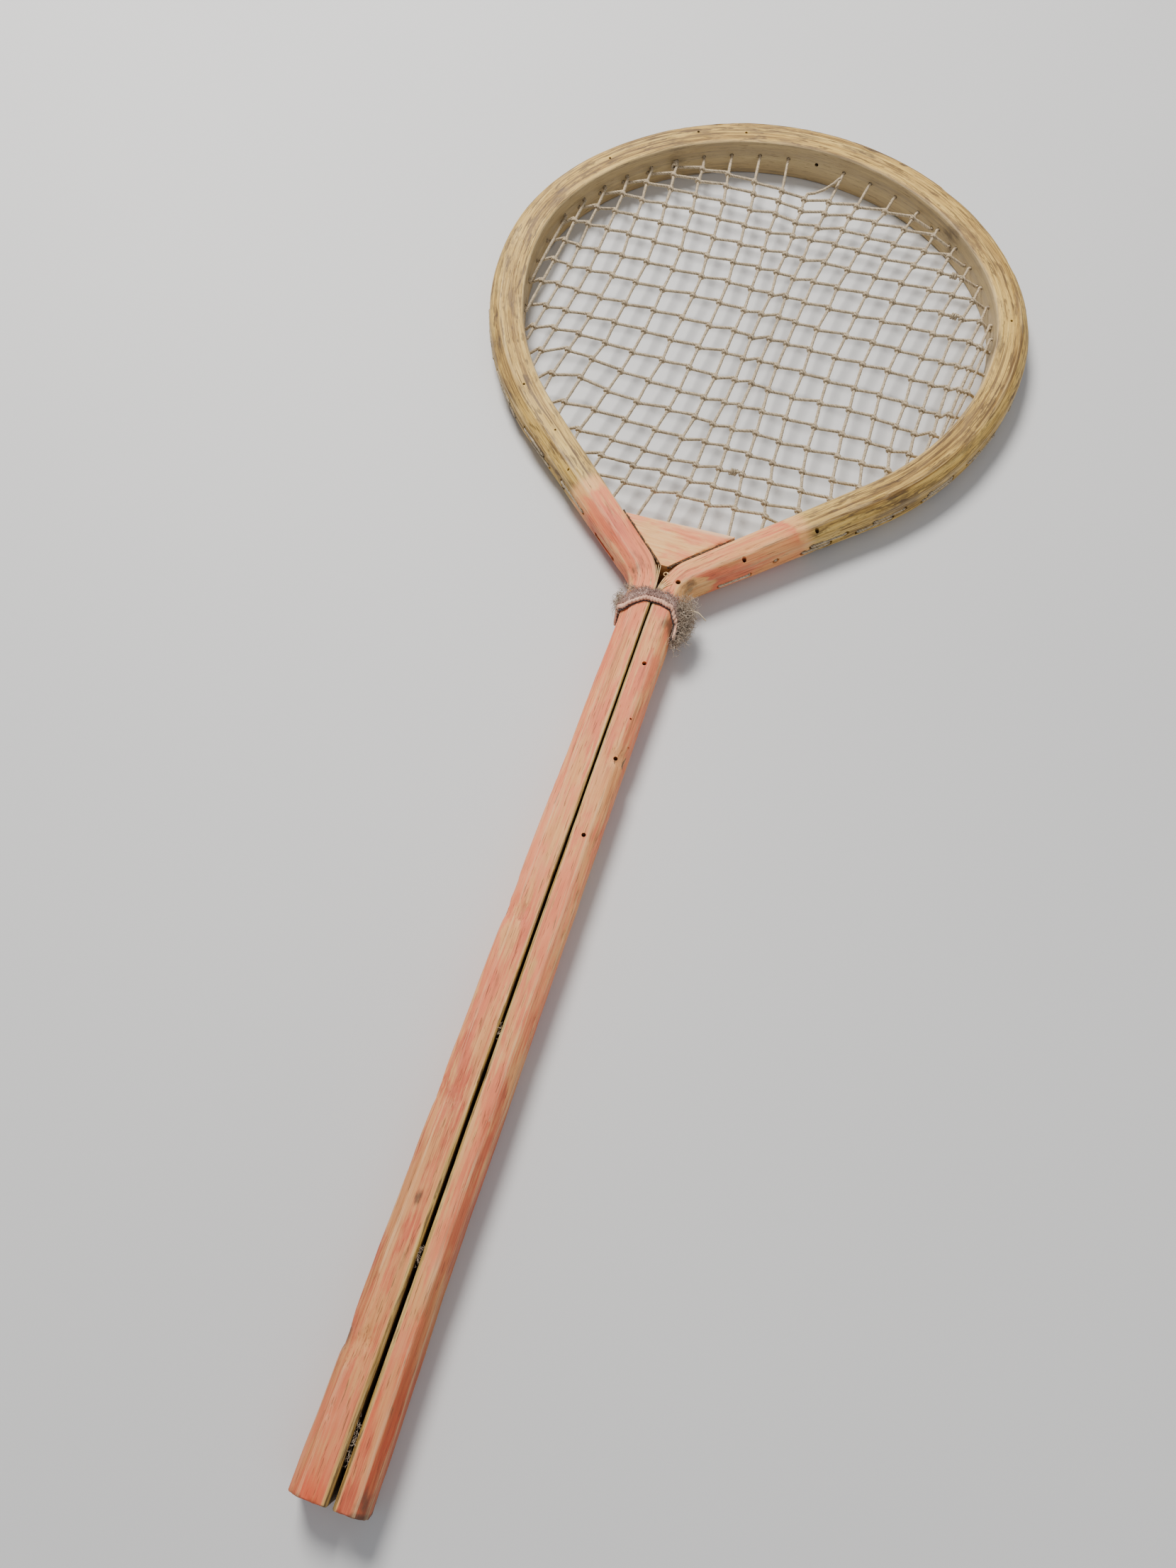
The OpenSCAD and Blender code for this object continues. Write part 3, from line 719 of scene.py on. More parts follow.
def knot_at(k, j):
    """Where a cross turns round a main. Each knot has slipped a little, and some rows ride up or sag."""
    m = meeting(k, j)
    m = m + np.array([0.75 * float(noise(k * 1.7, j * 1.3, 31)), 1.1 * float(noise(k * 0.9, j * 2.3, 32))])
    lift_left = 6.0 * bell(m[0], -68, 24) * bell(j, 4.2, 1.9)
    lift_right = 3.5 * bell(m[0], 78, 16) * bell(j, 6, 2.4)
    sag = -3.4 * bell(m[0], 6, 13) * bell(j, 15.6, 1.9)
    wall = min((m - CROSS_HIT[j][0][0]) @ CROSS_DIR, (CROSS_HIT[j][1][0] - m) @ CROSS_DIR)
    ease = min(1.0, max(0.0, (wall - 3) / 8))
    return m + np.array([0, (lift_left - lift_right + sag) * ease])


KNOT = {(k, j): knot_at(k, j) for k in range(MAINS) for j in range(CROSSES) if TIED[k][j]}


def wood_at(hit):
    """The stave's width where a string goes through it."""
    x, y = hit[0]
    return float(wood_size(np.array([y]), np.array([x > 0]))[0][0])


def lifted(p, z):
    return np.array([p[0], p[1], z])


def mouth(hit, z):
    return lifted(hit[0] - 0.9 * hit[1], z)


def seat(hit, z):
    return lifted(hit[0] + (wood_at(hit) - SEAT_DEPTH) * hit[1], z)


def foot_seat(k):
    if in_wedge(k):
        return lifted(FOOT_HIT[k][0] - 5 * main_dir(k), MAIN_Z)
    return seat(FOOT_HIT[k], MAIN_Z)


PEGGED = [k for k in range(MAINS) if in_wedge(k)]
LEFT_LAST = PEGGED[0]
BROKEN = PEGGED[1]
RIGHT_FIRST = PEGGED[-1] + 1
TOP_LOOPS = [(k - 1, k) for k in range(LEFT_LAST, 0, -2)] + [(BROKEN + 1, BROKEN + 2)]
TOP_LOOPS += [(k, k + 1) for k in range(RIGHT_FIRST, MAINS - 1, 2)]
FOOT_LOOPS = [(k - 1, k) for k in range(LEFT_LAST - 1, 0, -2)]
FOOT_LOOPS += [(k, k + 1) for k in range(RIGHT_FIRST + 1, MAINS - 1, 2)]


# ---------------------------------------------------------------- make the stave and carve it

stave = make_object("stave_wood", *stave_mesh(), WOOD, ["stave"], "bare_wood")
outward(stave)


def through(hit, z):
    return (lifted(hit[0] - 2 * hit[1], z), lifted(hit[0] + (wood_at(hit) + 3) * hit[1], z), HOLE_R, HOLE_FLARE)


carve(stave, [through(TOP_HIT[k], MAIN_Z) for k in range(MAINS)]
      + [through(FOOT_HIT[k], MAIN_Z) for k in range(MAINS) if not in_wedge(k)])
carve(stave, [through(CROSS_HIT[j][side], CROSS_Z) for j in range(CROSSES) for side in (0, 1)])
grooves = [(seat(TOP_HIT[a], MAIN_Z), seat(TOP_HIT[b], MAIN_Z), GROOVE_R) for a, b in TOP_LOOPS]
grooves += [(foot_seat(a), foot_seat(b), GROOVE_R) for a, b in FOOT_LOOPS]
carve(stave, grooves)
carve(stave, [
    (seat(CROSS_HIT[j][(j + 1) % 2], CROSS_Z), seat(CROSS_HIT[j + 1][(j + 1) % 2], CROSS_Z), GROOVE_R)
    for j in range(CROSSES - 1)
])


def leg_hit(side, along):
    """A point on a leg's inner face at this distance from the throat's corner, with the outward normal."""
    out = np.array([side * math.cos(LEG_ANGLE), -math.sin(LEG_ANGLE)])
    run = np.array([side * math.sin(LEG_ANGLE), math.cos(LEG_ANGLE)])
    return np.array([side * SLIT_NECK / 2, THROAT_Y]) + along * run, out


LOOP_Z = MID_Z - 1.4
THROAT_LOOPS = [(1, 18.4, 30.7), (-1, 17.6, 29.6)]


def blind(hit, z):
    w = wood_at(hit)
    return (lifted(hit[0] + (w - 5) * hit[1], z), lifted(hit[0] + (w + 1.5) * hit[1], z), 0.8, 1.35)


carve(stave, [blind(leg_hit(side, at), LOOP_Z) for side, a, b in THROAT_LOOPS for at in (a, b)])
carve(stave, [
    (seat(leg_hit(side, a), LOOP_Z), seat(leg_hit(side, b), LOOP_Z), GROOVE_R) for side, a, b in THROAT_LOOPS
])


def pit(x, y, r, deep=6.0, lean=(0.0, 0.0)):
    """A hole in the top face, drilled or bored by a beetle."""
    return ((x - lean[0], y - lean[1], TOP_Z - deep), (x + lean[0], y + lean[1], TOP_Z + 2), r)


carve(stave, [
    pit(5.0, 273.2, 0.85, 9), pit(6.4, 234.8, 0.8, 9), pit(4.8, 204.5, 0.8, 9), pit(6.9, 309.5, 1.0, 9),
    pit(27.4, 327.0, 0.9, 9), pit(50.0, 347.8, 0.85, 9),
    pit(-50.5, 537.4, 0.6, 5, (0.3, 0.1)), pit(-30.1, 543.6, 0.6, 5, (0.2, 0.2)), pit(-82.8, 509.6, 0.55, 5),
    pit(-77.0, 378.5, 0.55, 5), pit(101.2, 471.0, 0.55, 4), pit(-34.7, 548.2, 0.35, 3),
    pit(6.9, 250.8, 0.4, 4), pit(9.2, 240.8, 0.4, 4), pit(25.6, 321.9, 0.45, 4), pit(-47.5, 345.5, 0.45, 5),
    pit(-58.0, 361.0, 0.45, 5),
], 10)


def read_verts(mesh):
    co = np.empty(len(mesh.vertices) * 3, np.float32)
    mesh.vertices.foreach_get("co", co)
    p = co.reshape(-1, 3).astype(float)
    p[:, 1] -= BUTT_Y
    return p / MM


# soft spots on the stave, each as x, y, its reach in both and its strength
PAINT_RUBBED_OFF = [
    (-9.5, 118, 6, 34, 0.33), (-7.5, 90, 6, 20, 0.25), (6.5, 150, 4, 45, 0.28), (5.0, 60, 4, 30, 0.2),
    (-4.5, 255, 4, 40, 0.22), (19, 307, 12, 8, 1.0), (2.5, 120, 2.2, 90, 0.35), (-2.2, 60, 1.6, 60, 0.45),
]
PAINT_LEFT_BRIGHT = [
    (-7.5, 0, 3.6, 8, 0.9), (-3.4, 2, 1.2, 7, 0.5), (8.6, 14, 2.2, 34, 0.75), (2.8, 24, 1.0, 14, 0.6),
    (-47, 348, 5, 4, 0.5), (-34, 327, 4, 5, 0.4), (43, 346, 5, 6, 0.45), (-60, 352, 2, 5, 0.8), (6, 40, 1, 12, 0.5),
    (-8.5, 268, 3, 22, 0.3),
]
STAINS = [
    (-5.9, 80.7, 1.0, 3.5, 0.75), (-5.7, 49.7, 1.0, 4, 0.4), (-12.4, 173.4, 1.2, 3, 0.5), (-12.4, 39.8, 1.2, 4, 0.6),
    (71.4, 516.4, 6, 6, 0.6), (98.5, 459, 5, 12, 0.5), (-96, 430, 6, 18, 0.35), (-62, 528, 14, 6, 0.35),
    (9, 292, 6, 6, 0.5), (8.5, 2, 3, 4, 0.6), (20, 548, 25, 4, 0.3), (-10, 312, 6, 8, 0.5), (12, 310, 6, 8, 0.4),
]


def spots(p, rows):
    total = np.zeros(len(p))
    for x, y, x_reach, y_reach, strength in rows:
        total += strength * bell(p[:, 0], x, x_reach) * bell(p[:, 1], y, y_reach)
    return total


def stave_fields(mesh):
    """Writes where each point lies in the stave, and how painted, stained and rubbed it is, plus painted shade in its
    holes, slit and throat hollow and on the low handle's facets, and a painted highlight along its ridges.
    """
    p = read_verts(mesh)
    near = np.zeros(len(p), int)
    for lo in range(0, len(p), 4000):
        q = p[lo:lo + 4000]
        d = (q[:, 0:1] - PATH[None, :, 0]) ** 2 + (q[:, 1:2] - PATH[None, :, 1]) ** 2
        low = (q[:, 1] < 330)[:, None]
        d = d + np.where(low & ((q[:, 0] > 0)[:, None] != ON_RIGHT[None, :]), 1e6, 0)
        near[lo:lo + 4000] = d.argmin(1)
    n = PATH[near, 2:4]
    rel = p[:, :2] - PATH[near, :2]
    u = (rel * n).sum(1)
    along = rel[:, 0] * n[:, 1] - rel[:, 1] * n[:, 0]
    s = PATH_S[near] + along
    z = p[:, 2] - MID_Z
    w, t, c, soft = wood_size(p[:, 1], p[:, 0] > 0)
    put_grain(mesh, np.stack([s, u, z], 1))
    inner = smooth(0.9, 0.1, u) * smooth(320, 340, p[:, 1])
    put_float(mesh, "inner", inner)
    # the distance past the paint's edge on each leg
    paint = smooth(-13, 11, np.where(s < PATH_END / 2, PAINT_LEFT_S - s, s - PAINT_RIGHT_S))
    paint = paint - spots(p, PAINT_RUBBED_OFF)
    slit_face = smooth(1.0, 0.3, u) * smooth(312, 300, p[:, 1])
    low_bevel = smooth(1.5, 0.8, u) * smooth(120, 40, p[:, 1]) * smooth(t / 2 - 3.2, t / 2 - 2.0, np.abs(z))
    paint = np.clip(paint - 0.9 * slit_face - 0.9 * low_bevel - 0.9 * inner, 0, 1)
    put_float(mesh, "paint", paint)
    # the paint is darker low on the handle, from older paint and from painted shade where the light falls off; painted
    # shade darkens the outer facets, most of all the right one, on the side away from the light
    facet = smooth(w - c - 0.3, w - c + 0.6, u)
    aged_and_shaded = smooth(190, 25, p[:, 1]) * np.where(p[:, 0] > 0, 0.40 + 0.58 * facet, 0.40 + 0.35 * facet)
    put_float(mesh, "aged_and_shaded", np.clip(aged_and_shaded, 0, 1))
    put_float(mesh, "vivid", np.clip(spots(p, PAINT_LEFT_BRIGHT), 0, 1))
    under = np.minimum(np.minimum(u, w - u), t / 2 - np.abs(z))
    under = np.minimum(under, ((w - u) + (t / 2 - np.abs(z)) - c) / math.sqrt(2))
    # painted shade: in_hole, in_slit and hollow darken the walls down the holes, the slit below the throat and the
    # hollow at the wedge's tip
    in_hole = (under > 0.7) & ((p[:, 1] > 315) | (np.abs(p[:, 0]) > 2.5))
    in_hole &= (p[:, 1] > 2.5) & ((p[:, 0] > 0) | (p[:, 1] > 300))
    end_grain = smooth(0.6, 0.0, p[:, 1])
    in_slit = smooth(0.6, 0.2, u) * smooth(313, 308, p[:, 1]) * smooth(t / 2 - 0.9, t / 2 - 2.4, np.abs(z))
    hollow = smooth(1.0, 0.3, u) * bell(p[:, 1], 311, 5.5)
    # the stains from the spots and the end grain, plus the painted shade in the holes, slit and hollow, then dirt
    # along the hoop's outer chamfer
    stain_and_shade = spots(p, STAINS) + 1.6 * in_hole + 0.5 * end_grain + 1.3 * in_slit + 1.2 * hollow
    stain_and_shade = stain_and_shade + 0.30 * smooth(w - c - 1.2, w - c + 1.2, u) * smooth(345, 365, p[:, 1])
    put_float(mesh, "stain_and_shade", np.clip(stain_and_shade, 0, 2))
    # painted highlight along the inner, outer and top ridges
    near_inner = smooth(1.3, 0.2, u) * smooth(t / 2 - 1.3, t / 2 - 0.3, np.abs(z))
    near_outer = smooth(1.4, 0.2, np.abs(u - w)) * smooth(1.6, 0.3, np.abs(np.abs(z) - (t / 2 - c)))
    near_top = smooth(1.4, 0.2, np.abs(u - (w - c))) * smooth(t / 2 - 0.8, t / 2 - 0.1, np.abs(z))
    put_float(mesh, "edge", np.clip(near_inner + near_outer + near_top, 0, 1))


def leg_s(x, y):
    """Distance along the path of the station nearest to a point."""
    d = (PATH[:, 0] - x) ** 2 + (PATH[:, 1] - y) ** 2
    return PATH_S[int(d.argmin())]


PAINT_LEFT_S = leg_s(-36, 336)
PAINT_RIGHT_S = leg_s(40, 345)
stave_fields(stave.data)
shade(stave.data, 38)


# ---------------------------------------------------------------- the wedge


JOINT_GAP = 0.72


def wedge_piece():
    blunt = 1.0
    thick = NECK_T - 0.6
    tip_y = THROAT_Y + JOINT_GAP / math.sin(LEG_ANGLE) + blunt
    slope = math.tan(LEG_ANGLE)

    def half(y):
        return SLIT_NECK / 2 + (y - THROAT_Y) * slope - JOINT_GAP / math.cos(LEG_ANGLE)

    nu, nv = 46, 40
    verts, faces = [], []
    grid = {}
    for face, z in ((0, MID_Z + thick / 2), (1, MID_Z - thick / 2)):
        for i in range(nv + 1):
            v = i / nv
            y = tip_y + (WEDGE_Y - tip_y) * v
            for k in range(nu + 1):
                u = 2 * k / nu - 1
                x = u * half(y) + 0.25 * float(noise(y / 1.7, face * 9 + (5 if u > 0 else 0), 41)) * (abs(u) > 0.98)
                rim = min(1 - abs(u), (1 - v) * 0.9, v + 0.02)
                drop = 0.55 * math.exp(-rim / 0.03)
                bow = 0.10 * float(noise(x / 6, y / 2.2, 42)) + 0.05 * float(noise(x / 3, y / 0.8, 43))
                grid[face, i, k] = len(verts)
                verts.append((x, y + 0.045 * x * v, z + (bow - drop) * (1 if face == 0 else -1)))
    for face in (0, 1):
        for i in range(nv):
            for k in range(nu):
                q = [grid[face, i, k], grid[face, i, k + 1], grid[face, i + 1, k + 1], grid[face, i + 1, k]]
                faces.append(q if face == 0 else q[::-1])
    rim = [(0, k) for k in range(nu + 1)] + [(i, nu) for i in range(1, nv + 1)]
    rim += [(nv, k) for k in range(nu - 1, -1, -1)] + [(i, 0) for i in range(nv - 1, 0, -1)]
    for a, b in zip(rim, rim[1:] + rim[:1]):
        faces.append([grid[0, a[0], a[1]], grid[1, a[0], a[1]], grid[1, b[0], b[1]], grid[0, b[0], b[1]]])
    obj = make_object("throat_wedge_wood", verts, faces, WEDGE_WOOD, ["throat_wedge"], "painted_wood")
    outward(obj)
    rods = []
    for k in PEGGED:
        foot = FOOT_HIT[k][0]
        rods.append((lifted(foot - 5.2 * main_dir(k), MAIN_Z), lifted(foot + 2 * main_dir(k), MAIN_Z), HOLE_R))
    carve(obj, rods)
    p = read_verts(obj.data)
    put_grain(obj.data, p)
    upper = smooth(1.6, 0.2, WEDGE_Y - p[:, 1]) * (np.abs(p[:, 2] - MID_Z) > thick / 2 - 1.4)
    put_float(obj.data, "edge", upper)
    put_float(obj.data, "high", smooth(THROAT_Y + 3, WEDGE_Y, p[:, 1]) * 0.7 + 0.3 * smooth(-6, -20, p[:, 0]))
    shade(obj.data, 40)


wedge_piece()


# ---------------------------------------------------------------- twine


TURN_REACH = 0.9


def spline(points, step):
    """A smooth curve through the points, in even steps. Points added near each turn keep it tight."""
    p = [np.asarray(points[0], float)]
    for a, b in zip(points, points[1:]):
        a, b = np.asarray(a, float), np.asarray(b, float)
        d = np.linalg.norm(b - a)
        if d > 2.5 * TURN_REACH:
            p += [a + (b - a) * TURN_REACH / d, b - (b - a) * TURN_REACH / d]
        p.append(b)
    p = np.array(p)
    p = np.vstack([2 * p[0] - p[1], p, 2 * p[-1] - p[-2]])
    out = []
    for i in range(1, len(p) - 2):
        near = p[i - 1:i + 3]
        at = np.concatenate([[0], np.cumsum([max(np.linalg.norm(q), 1e-6) ** 0.5 for q in np.diff(near, axis=0)])])
        n = max(int(math.ceil(np.linalg.norm(near[2] - near[1]) / step)), 1)
        t = np.linspace(at[1], at[2], n, endpoint=False)[:, None]

        def blend(a, b, first, then):
            return (at[then] - t) / (at[then] - at[first]) * a + (t - at[first]) / (at[then] - at[first]) * b

        one, two, three = [blend(near[k], near[k + 1], k, k + 1) for k in range(3)]
        out.append(blend(blend(one, two, 0, 2), blend(two, three, 1, 3), 1, 2))
    out.append(p[-2][None, :])
    return np.vstack(out)


def rope(paths, radius=TWINE_R, strands=3, pitch=3.4, sides=9, step=0.55, rough=0.05):
    """Twisted twine along each path: the section has one lobe per strand and turns as it goes."""
    all_verts, all_faces, all_grain, all_lay = [], [], [], []
    base = 0
    for number, points in enumerate(paths):
        c = spline(points, step)
        c = c[np.concatenate([[True], np.linalg.norm(np.diff(c, axis=0), axis=1) > 1e-4])]
        d = np.gradient(c, axis=0)
        d /= np.linalg.norm(d, axis=1)[:, None]
        s = np.concatenate([[0], np.cumsum(np.linalg.norm(np.diff(c, axis=0), axis=1))])
        u = np.empty_like(c)
        first = np.cross(d[0], [0, 0, 1.0])
        if np.linalg.norm(first) < 0.1:
            first = np.cross(d[0], [1.0, 0, 0])
        u[0] = first / np.linalg.norm(first)
        for i in range(1, len(c)):
            q = u[i - 1] - (u[i - 1] @ d[i]) * d[i]
            u[i] = q / max(np.linalg.norm(q), 1e-9)
        v = np.cross(d, u)
        h = 2 * math.pi * np.arange(sides) / sides
        turn = 2 * math.pi * s[:, None] / pitch + number
        lobe = np.abs(np.cos(strands * (h[None, :] - turn) / 2))
        swell = 1 + 0.08 * noise(s / 4.0, number * 3.1, 51)[:, None]
        r = radius * swell * (0.80 + 0.24 * lobe) + rough * noise(s[:, None] / 0.8, h[None, :] * 1.3 + number * 7, 52)
        ring = np.cos(h)[None, :, None] * u[:, None, :] + np.sin(h)[None, :, None] * v[:, None, :]
        pts = c[:, None, :] + r[..., None] * ring
        n = len(c)
        all_faces += tube_faces(n, sides, base)
        all_verts.append(pts.reshape(-1, 3))
        grain = np.stack([
            np.broadcast_to(s[:, None] + 37.0 * number, (n, sides)),
            np.broadcast_to(np.cos(h)[None, :] * radius, (n, sides)),
            np.broadcast_to(np.sin(h)[None, :] * radius, (n, sides)),
        ], -1)
        # the fibres follow the strands, so the pattern turns with them
        co, si = np.cos(turn), np.sin(turn)
        gx, gy = grain[..., 1].copy(), grain[..., 2].copy()
        grain[..., 1], grain[..., 2] = gx * co + gy * si, gy * co - gx * si
        all_grain.append(grain.reshape(-1, 3))
        # lay: how deep the surface lies between the strands, which the twine material darkens as painted shade
        all_lay.append((smooth(0.55, 0.1, lobe)).reshape(-1))
        base += n * sides
    return np.vstack(all_verts), all_faces, np.vstack(all_grain), np.concatenate(all_lay)


def twine_object(name, paths, nodes, material=TWINE, **options):
    verts, faces, grain, lay = rope(paths, **options)
    obj = make_object(name, verts, faces, material, nodes, "twine")
    outward(obj)
    put_grain(obj.data, grain)
    put_float(obj.data, "lay", lay)


def knots_on(k):
    return [lifted(KNOT[k, j], MAIN_Z) for j in range(CROSSES) if TIED[k][j]]


def low_main(k):
    return [foot_seat(k), mouth(FOOT_HIT[k], MAIN_Z)] + knots_on(k)


def up_main(k):
    return low_main(k) + [mouth(TOP_HIT[k], MAIN_Z), seat(TOP_HIT[k], MAIN_Z)]


def chained(numbers, start_down):
    """One length of twine up and down these mains in turn."""
    path = []
    for i, k in enumerate(numbers):
        one = up_main(k)
        path += one[::-1] if (i % 2 == 0) == start_down else one
    return path


twine_object("main_strings_twine", [
    chained(range(LEFT_LAST + 1), LEFT_LAST % 2 == 0), up_main(BROKEN + 1) + up_main(BROKEN + 2)[::-1],
    chained(range(RIGHT_FIRST, MAINS), False),
], ["main_strings"])

# the left leg's loop is missing: only its groove and holes are there
ends = [leg_hit(THROAT_LOOPS[0][0], at) for at in THROAT_LOOPS[0][1:]]
inside = [lifted(h[0] + (wood_at(h) - 4.2) * h[1], LOOP_Z) for h in ends]
twine_object("throat_loop_twine", [
    [inside[0], seat(ends[0], LOOP_Z), seat(ends[1], LOOP_Z), inside[1]],
], ["main_strings"], PALE_THREAD)

last = lifted(KNOT[BROKEN, CROSSES - 1], MAIN_Z)
CURL = [[0.5, 4, 0], [3.5, 5, 0.4], [7, 7.5, 1.2], [10.2, 11, 2.2], [12.2, 14.2, 3]]
twine_object("broken_main_twine", [low_main(BROKEN) + [last + np.array(c) for c in CURL]], ["broken_main"])

WRAP_R = 0.98
CLIMB = 0.62 * np.array([math.sin(math.radians(2.5)), math.cos(math.radians(2.5))])


def wrap(m):
    """The cross's turn round a main, from right to left."""
    rise = WRAP_R + 0.05
    return [
        lifted(m + 1.15 * WRAP_R * CROSS_DIR - CLIMB, MAIN_Z + 0.55),
        lifted(m + 0.1 * CROSS_DIR - CLIMB * 0.55, MAIN_Z + rise),
        lifted(m - WRAP_R * CROSS_DIR - CLIMB * 0.2, MAIN_Z),
        lifted(m, MAIN_Z - rise),
        lifted(m + WRAP_R * CROSS_DIR + CLIMB * 0.2, MAIN_Z),
        lifted(m - 0.1 * CROSS_DIR + CLIMB * 0.55, MAIN_Z + rise),
        lifted(m - 1.15 * WRAP_R * CROSS_DIR + CLIMB, MAIN_Z + 0.55),
    ]


def cross_path(j):
    at = [KNOT[k, j] for k in range(MAINS) if TIED[k][j]]
    a, b = CROSS_HIT[j]
    path = [seat(a, CROSS_Z), mouth(a, CROSS_Z)]
    for m in at:
        # the cross comes in from the left, goes once round the main and leaves to the right
        path += wrap(m)[::-1]
    return path + [mouth(b, CROSS_Z), seat(b, CROSS_Z)]


crosses = []
for j in range(CROSSES):
    crosses += cross_path(j) if j % 2 == 0 else cross_path(j)[::-1]
twine_object("cross_strings_twine", [crosses], ["cross_strings"])


def coil(p, d, turns, r, pitch):
    """A tight coil round a string through p along d."""
    d = unit(d)
    u = unit(np.cross(d, [0, 0, 1.0]))
    v = np.cross(d, u)
    out = []
    for i in range(int(turns * 10) + 1):
        h = 2 * math.pi * i / 10
        out.append(p + d * pitch * (i / 10 - turns / 2) + r * (math.cos(h) * u + math.sin(h) * v))
    return out


def splice(j, index):
    """A knot on cross j, between two of the mains it meets."""
    on = [k for k in range(MAINS) if TIED[k][j]]
    a, b = lifted(KNOT[on[index], j], MAIN_Z), lifted(KNOT[on[index + 1], j], MAIN_Z)
    return coil(a + 0.6 * (b - a) + np.array([0, 0, 0.5]), b - a, 2.6, 0.98, 1.0)


twine_object(
    "splice_knots_twine", [splice(2, 5), splice(11, 16), splice(13, 13)], ["splice_knots"], OLD_TWINE,
    radius=0.5, step=0.35)
tie_top = lifted(TOP_HIT[5][0], MAIN_Z)
tie_d = lifted(main_dir(5), 0)
twine_object(
    "tie_off_knot_twine", [coil(tie_top - 3.0 * tie_d, tie_d, 2.8, 1.0, 1.05)], ["tie_off_knot"], TWINE,
    radius=0.52, step=0.35)


# ---------------------------------------------------------------- the velvet ribbon round the throat


def neck_outline(grow, count):
    """Points round the closed handle under the bend, with outward normals, starting on the right at mid height."""
    w = SLIT_NECK / 2 + NECK_W + grow
    t = NECK_T / 2 + grow
    c = NECK_CORNER + grow * (2 - math.sqrt(2))
    ring = np.array([
        (w, -t + c), (w, t - c), (w - c, t), (c - w, t), (-w, t - c), (-w, c - t), (c - w, -t), (w - c, -t),
    ])
    closed = np.vstack([ring, ring[:1]])
    seg = np.hypot(*np.diff(closed, axis=0).T)
    s = np.concatenate([[0], np.cumsum(seg)])
    q = np.linspace(0, s[-1], count, endpoint=False)
    p = np.stack([np.interp(q, s, closed[:, 0]), np.interp(q, s, closed[:, 1])], 1)
    for _ in range(4):
        p = (np.roll(p, 1, 0) + 2 * p + np.roll(p, -1, 0)) / 4
    d = np.roll(p, -1, 0) - np.roll(p, 1, 0)
    n = np.stack([d[:, 1], -d[:, 0]], 1)
    n /= np.linalg.norm(n, axis=1)[:, None]
    return p, n, q


def ribbon_line(p, grow, high):
    """The ribbon's lower or upper edge: it arches over the top of the handle and drops down the sides."""
    x = p[:, 0] * 11.45 / (SLIT_NECK / 2 + NECK_W + grow)
    on_top = smooth(-5, 3.5, p[:, 1])
    if high:
        over = 303.4 - 4.6 * smooth(-3, -11.3, x) - 2.4 * smooth(5, 11.3, x)
        return over * on_top + 298.0 * (1 - on_top)
    over = 299.3 - 5.1 * smooth(-1.8, -10.0, x) - 1.0 * smooth(3, 7.5, x) - 4.2 * smooth(7.2, 10.9, x)
    over = over - 5.5 * smooth(10.7, 11.45, x)
    return over * on_top + 292.0 * (1 - on_top)


def ribbon_body():
    count, rows = 220, 20
    p, n, q = neck_outline(0.12, count)
    verts, faces = [], []
    low = ribbon_line(p, 0.12, False) + 0.6
    high = ribbon_line(p, 0.12, True) - 0.3 + 0.7 * noise(q / 3.0, 0, 61)
    for layer in (0, 1):
        for i in range(rows + 1):
            v = i / rows
            y = low * (1 - v) + high * v
            bulge = 0.75 * math.sin(math.pi * min(max(v, 0.03), 0.97)) ** 0.4
            thick = (bulge + 0.16 * noise(q / 1.6, v * 6, 62) + 0.08 * noise(q / 0.6, v * 14, 63)) if layer else 0.0
            off = np.clip(thick, 0, 1.0)[:, None] * n if layer else 0 * n
            for k in range(count):
                verts.append((p[k, 0] + off[k, 0], y[k], MID_Z + p[k, 1] + off[k, 1]))
    step = (rows + 1) * count

    def at(layer, i, k):
        return layer * step + i * count + k % count

    for k in range(count):
        for i in range(rows):
            faces.append([at(1, i, k), at(1, i, k + 1), at(1, i + 1, k + 1), at(1, i + 1, k)])
            faces.append([at(0, i, k), at(0, i + 1, k), at(0, i + 1, k + 1), at(0, i, k + 1)])
        faces.append([at(0, 0, k), at(0, 0, k + 1), at(1, 0, k + 1), at(1, 0, k)])
        faces.append([at(0, rows, k), at(1, rows, k), at(1, rows, k + 1), at(0, rows, k + 1)])
    obj = make_object("throat_ribbon_velvet", verts, faces, PILE, ["throat_binding"], "velvet")
    outward(obj)
    put_grain(obj.data, verts)


ribbon_body()


def ribbon_edge(name, grow, shift, size, rib_size, material):
    """A ribbed cord along the ribbon's lower edge, moved by the shift."""
    count = 460
    p, n, q = neck_outline(grow, count)
    y = ribbon_line(p, grow, False) + shift + 0.25 * noise(q / 3, 0, 64)
    c = np.stack([p[:, 0], y, MID_Z + p[:, 1]], 1)
    c[:, 2] = np.clip(c[:, 2], 0.75, None)
    sides = 12
    rib = 0.5 + 0.5 * np.cos(2 * math.pi * q / 1.15)
    verts, faces = [], []
    out = np.stack([n[:, 0], 0 * y, n[:, 1]], 1)
    for k in range(count):
        r = size + rib_size * rib[k] + 0.05 * float(noise(q[k] / 0.9, 3, 65))
        for a in range(sides):
            h = 2 * math.pi * a / sides
            verts.append(c[k] + out[k] * r * 0.8 * math.cos(h) + np.array([0, 1, 0]) * r * 1.15 * math.sin(h))
    for k in range(count):
        nk = (k + 1) % count
        for a in range(sides):
            na = (a + 1) % sides
            faces.append([k * sides + a, nk * sides + a, nk * sides + na, k * sides + na])
    obj = make_object(name, verts, faces, material, ["binding_edge"], "ribbon_cord")
    outward(obj)
    put_grain(obj.data, verts)


ribbon_edge("throat_ribbon_corded_edge", 0.80, 0.0, 0.70, 0.24, CORDED)
# a thin near-black cord just under the corded edge, as painted contact shadow
ribbon_edge("throat_ribbon_painted_shadow_cord", 0.22, -0.95, 0.26, 0.06, CONTACT_SHADOW_CORD)


